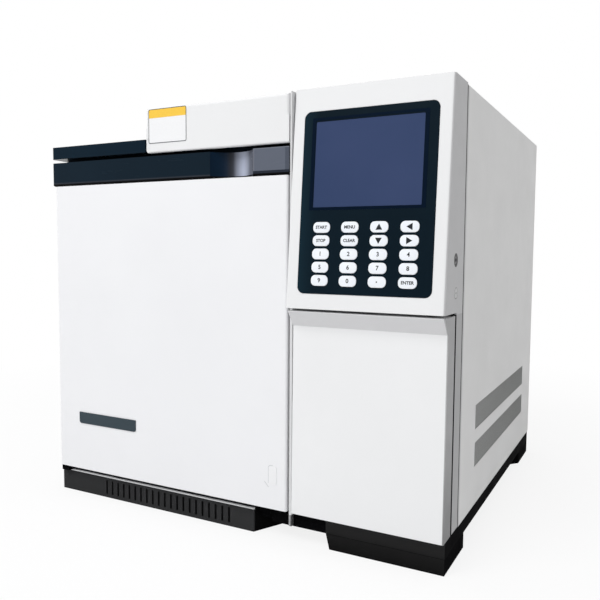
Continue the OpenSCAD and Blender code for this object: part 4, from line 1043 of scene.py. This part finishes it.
def bent_pipe(places, radius, bend, sides=10):
    """A pipe along straight runs with round bends; places are in metres."""
    path = [places[0]]
    for before, corner, after in zip(places, places[1:], places[2:]):
        into, out = (corner - before).normalized(), (after - corner).normalized()
        reach = min(bend, (corner - before).length * 0.45, (after - corner).length * 0.45)
        start, end = corner - into * reach, corner + out * reach
        for t in (step / 6 for step in range(7)):
            path.append(start * (1 - t) ** 2 + corner * 2 * t * (1 - t) + end * t ** 2)
    path.append(places[-1])
    rings, side = [], None
    for index, place in enumerate(path):
        along = heading(path, index)
        side = along.orthogonal() if side is None else side - along * side.dot(along)
        side.normalize()
        other = along.cross(side)
        corners = (polar(radius, 2 * math.pi * k / sides) for k in range(sides))
        rings.append([place + side * corner.x + other * corner.y for corner in corners])
    mesh = skinned("pipe", rings)
    for face in mesh.polygons:
        face.use_smooth = True
    return mesh


def wind_column():
    """The capillary column: fine turns in two layers on a wire cage, both ends led up to the inlets."""
    upright = Matrix.Translation(COIL * MM) @ Matrix.Rotation(QUARTER, 4, "X")
    tree = winding_tree()
    tall, tube, bend = 13.2, 0.42, 9
    layers = []
    for layer, radius in enumerate((COIL_RADIUS - 0.35, COIL_RADIUS + 0.4)):
        mesh = grown("layer", tree, {
            "Drum Radius": radius * MM, "Turns": 17.0 - layer, "Height": tall * MM,
            "Wire Radius": 0.36 * MM, "Finish": FINISHES["column"]})
        mesh.transform(upright @ Matrix.Translation((0, 0, -tall / 2 * MM)))
        layers.append(mesh)
    apart, inlet = 28, 352
    rise = math.sqrt(COIL_RADIUS ** 2 - apart ** 2)
    for side, end, height in ((-apart, DETECTOR_X, 346), (apart, INJECTOR_X, 351)):
        start = COIL + Vector((side, 0, rise))
        stops = (start, (start.x, COIL.y, height), (end, COIL.y, height), (end, INLET_Y, height - 0.4),
                 (end, INLET_Y, inlet))
        layers.append(bent_pipe([Vector(stop) * MM for stop in stops], tube * MM, bend * MM, 8))
    column = add_piece("column_winding", joined(layers), "housing", "column")
    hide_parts("capillary_column")
    cage = grown("column_cage", cage_tree(), {
        "Rim Radius": (COIL_RADIUS - 3) * MM, "Half Height": 9.9 * MM, "Wire Radius": 1.4 * MM, "Spokes": 12,
        "Spoke Radius": (COIL_RADIUS - 2.6) * MM, "Finish": FINISHES["cage_wire"]})
    cage.transform(upright)
    add_piece("column_cage", cage, "housing")


def hex_nut(middle, across, length):
    """An upright hexagonal nut about a pipe, with chamfered ends; in millimetres."""
    rings = []
    for offset, share in ((-0.5, 0.86), (-0.38, 1), (0.38, 1), (0.5, 0.86)):
        corners = (polar(across / 2 * share, math.pi / 3 * k) for k in range(6))
        rings.append([(middle + Vector((*corner, offset * length))) * MM for corner in corners])
    return skinned("nut", rings)


def run_pipes():
    """Bent steel pipe under the cover: carrier gas to the injector, fuel gas and air to the detector."""
    runs = {
        "carrier_pipe": (1.5, (60, INLET_Y, 466), (67, INLET_Y, 466), (67, 2, 462), (67, 2, SHELL_TOP)),
        "fuel_pipe": (1.3, (DETECTOR_X, -79, 479), (DETECTOR_X, -52, 479), (-58, 2, 462),
                      (-58, 2, SHELL_TOP)),
        "air_pipe": (1.3, (-86, INLET_Y, 479), (-90.5, INLET_Y, 479), (-88, 2, 462), (-88, 2, SHELL_TOP)),
    }
    for name, (radius, *stops) in runs.items():
        pipe = bent_pipe([Vector(stop) * MM for stop in stops], radius * MM, 9 * MM, 12)
        add_piece(name, pipe, "housing", "pipe")
        foot = Vector(stops[-1])
        nuts = joined([hex_nut(foot + Vector((0, 0, 3)), 11, 6), hex_nut(foot + Vector((0, 0, 11)), 8.5, 8)])
        add_piece(name + "_nuts", nuts, "housing", "brass")


# ---------------------------------------------------------------- small fastenings and marks

def fasten():
    """Pan-head screws on the rear panel, the fan baffle, the flow panel, the door's plug and the deck."""
    tree = screw_tree()
    forward, back, up = Vector((0, -1, 0)), Vector((0, 1, 0)), Vector((0, 0, 1))
    rear = [(x, 42) for x in (-262, -175, -88, 0, 88, 175, 262)] + [(-262, 240), (262, 190), (262, 330)]
    rear += [(x, 443) for x in (-262, -130, 0, 84)] + [(x, 497) for x in (100, 180, 262)]
    deck = ((-261, -248), (-261, 0), (-261, 238), (-130, 238), (0, 238), (80, 238))
    rows = {
        "rear_screws": ("housing", back, 3.4, [(x, REAR, z) for x, z in rear]),
        "baffle_screws": ("housing", forward, 3.4, [
            (OVEN.x + x, BAFFLE_FRONT, OVEN.z + z) for x in (-114, 114) for z in (-118, 118)]),
        "flow_panel_screws": ("housing", forward, 2.6, [
            (x, FLOW_FRONT, z) for x in (102, 178, 254) for z in (46, 260)]),
        "plug_screws": ("oven_door", back, 2.6, [
            (OVEN.x + x, PLUG_BACK, OVEN.z + z) for x in (-118, 0, 118) for z in (-122, 122)]),
        "deck_screws": ("housing", up, 2.8, [(x, y, DECK_TOP) for x, y in deck]),
    }
    sunk = 0.05 * MM
    for name, (body, outward, radius, places) in rows.items():
        size = {"Head Radius": radius * MM, "Head Height": radius * 0.45 * MM, "Finish": FINISHES["chrome"]}
        scatter(name, [Vector(place) * MM - outward * sunk for place in places], outward, tree, size, body)


def mark_knobs():
    """A white index inlay in each flow knob's groove."""
    for index in (1, 2, 3):
        low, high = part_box(f"flow_knob_{index}")
        inlay = extruded(rounded_outline(1.1 * MM, 7.6 * MM, 0.3 * MM), 0.45 * MM)
        middle = (low + high) / 2
        inlay.transform(facing_front(middle.x, low.y + 0.58 * MM, middle.z + 7 * MM))
        add_piece(f"knob_inlay_{index}", inlay, f"flow_knob_{index}", "white_ink")


def mark_rocker():
    """A bar on the rocker's upper half and a ring on its lower half."""
    tilt = math.radians(8)
    pivot = Vector((245, 246, 85))

    def turned(y, z):
        return Vector((0, y * math.cos(tilt) + z * math.sin(tilt), z * math.cos(tilt) - y * math.sin(tilt)))

    bar = extruded(rounded_outline(0.9 * MM, 3.4 * MM, 0.2 * MM), 0.1 * MM)
    ring = extruded(disc(1.8 * MM, 28), 0.1 * MM, (disc(1.1 * MM, 28)[::-1],))
    for name, mesh, height, lean in (("rocker_on", bar, 3.65, -0.162), ("rocker_off", ring, -3.65, 0.162)):
        outward = turned(0.987, lean).normalized()
        sideways = Vector((-1, 0, 0))
        place = (pivot + turned(4.7, height)) * MM
        mesh.transform(along_axes(sideways, outward.cross(sideways), outward, place))
        add_piece(name, mesh, "power_switch", "white_ink")


# ---------------------------------------------------------------- assembly

place_camera()
light_studio()
lay_floor()
dress_nodes()
panel = LeaningPanel()
print_keys(panel, "legend_ink")
add_labels()
frame_screen(panel)
line_socket()
slat_vents()
wind_column()
run_pipes()
fasten()
mark_knobs()
mark_rocker()

bpy.context.scene.view_settings.view_transform = "Standard"
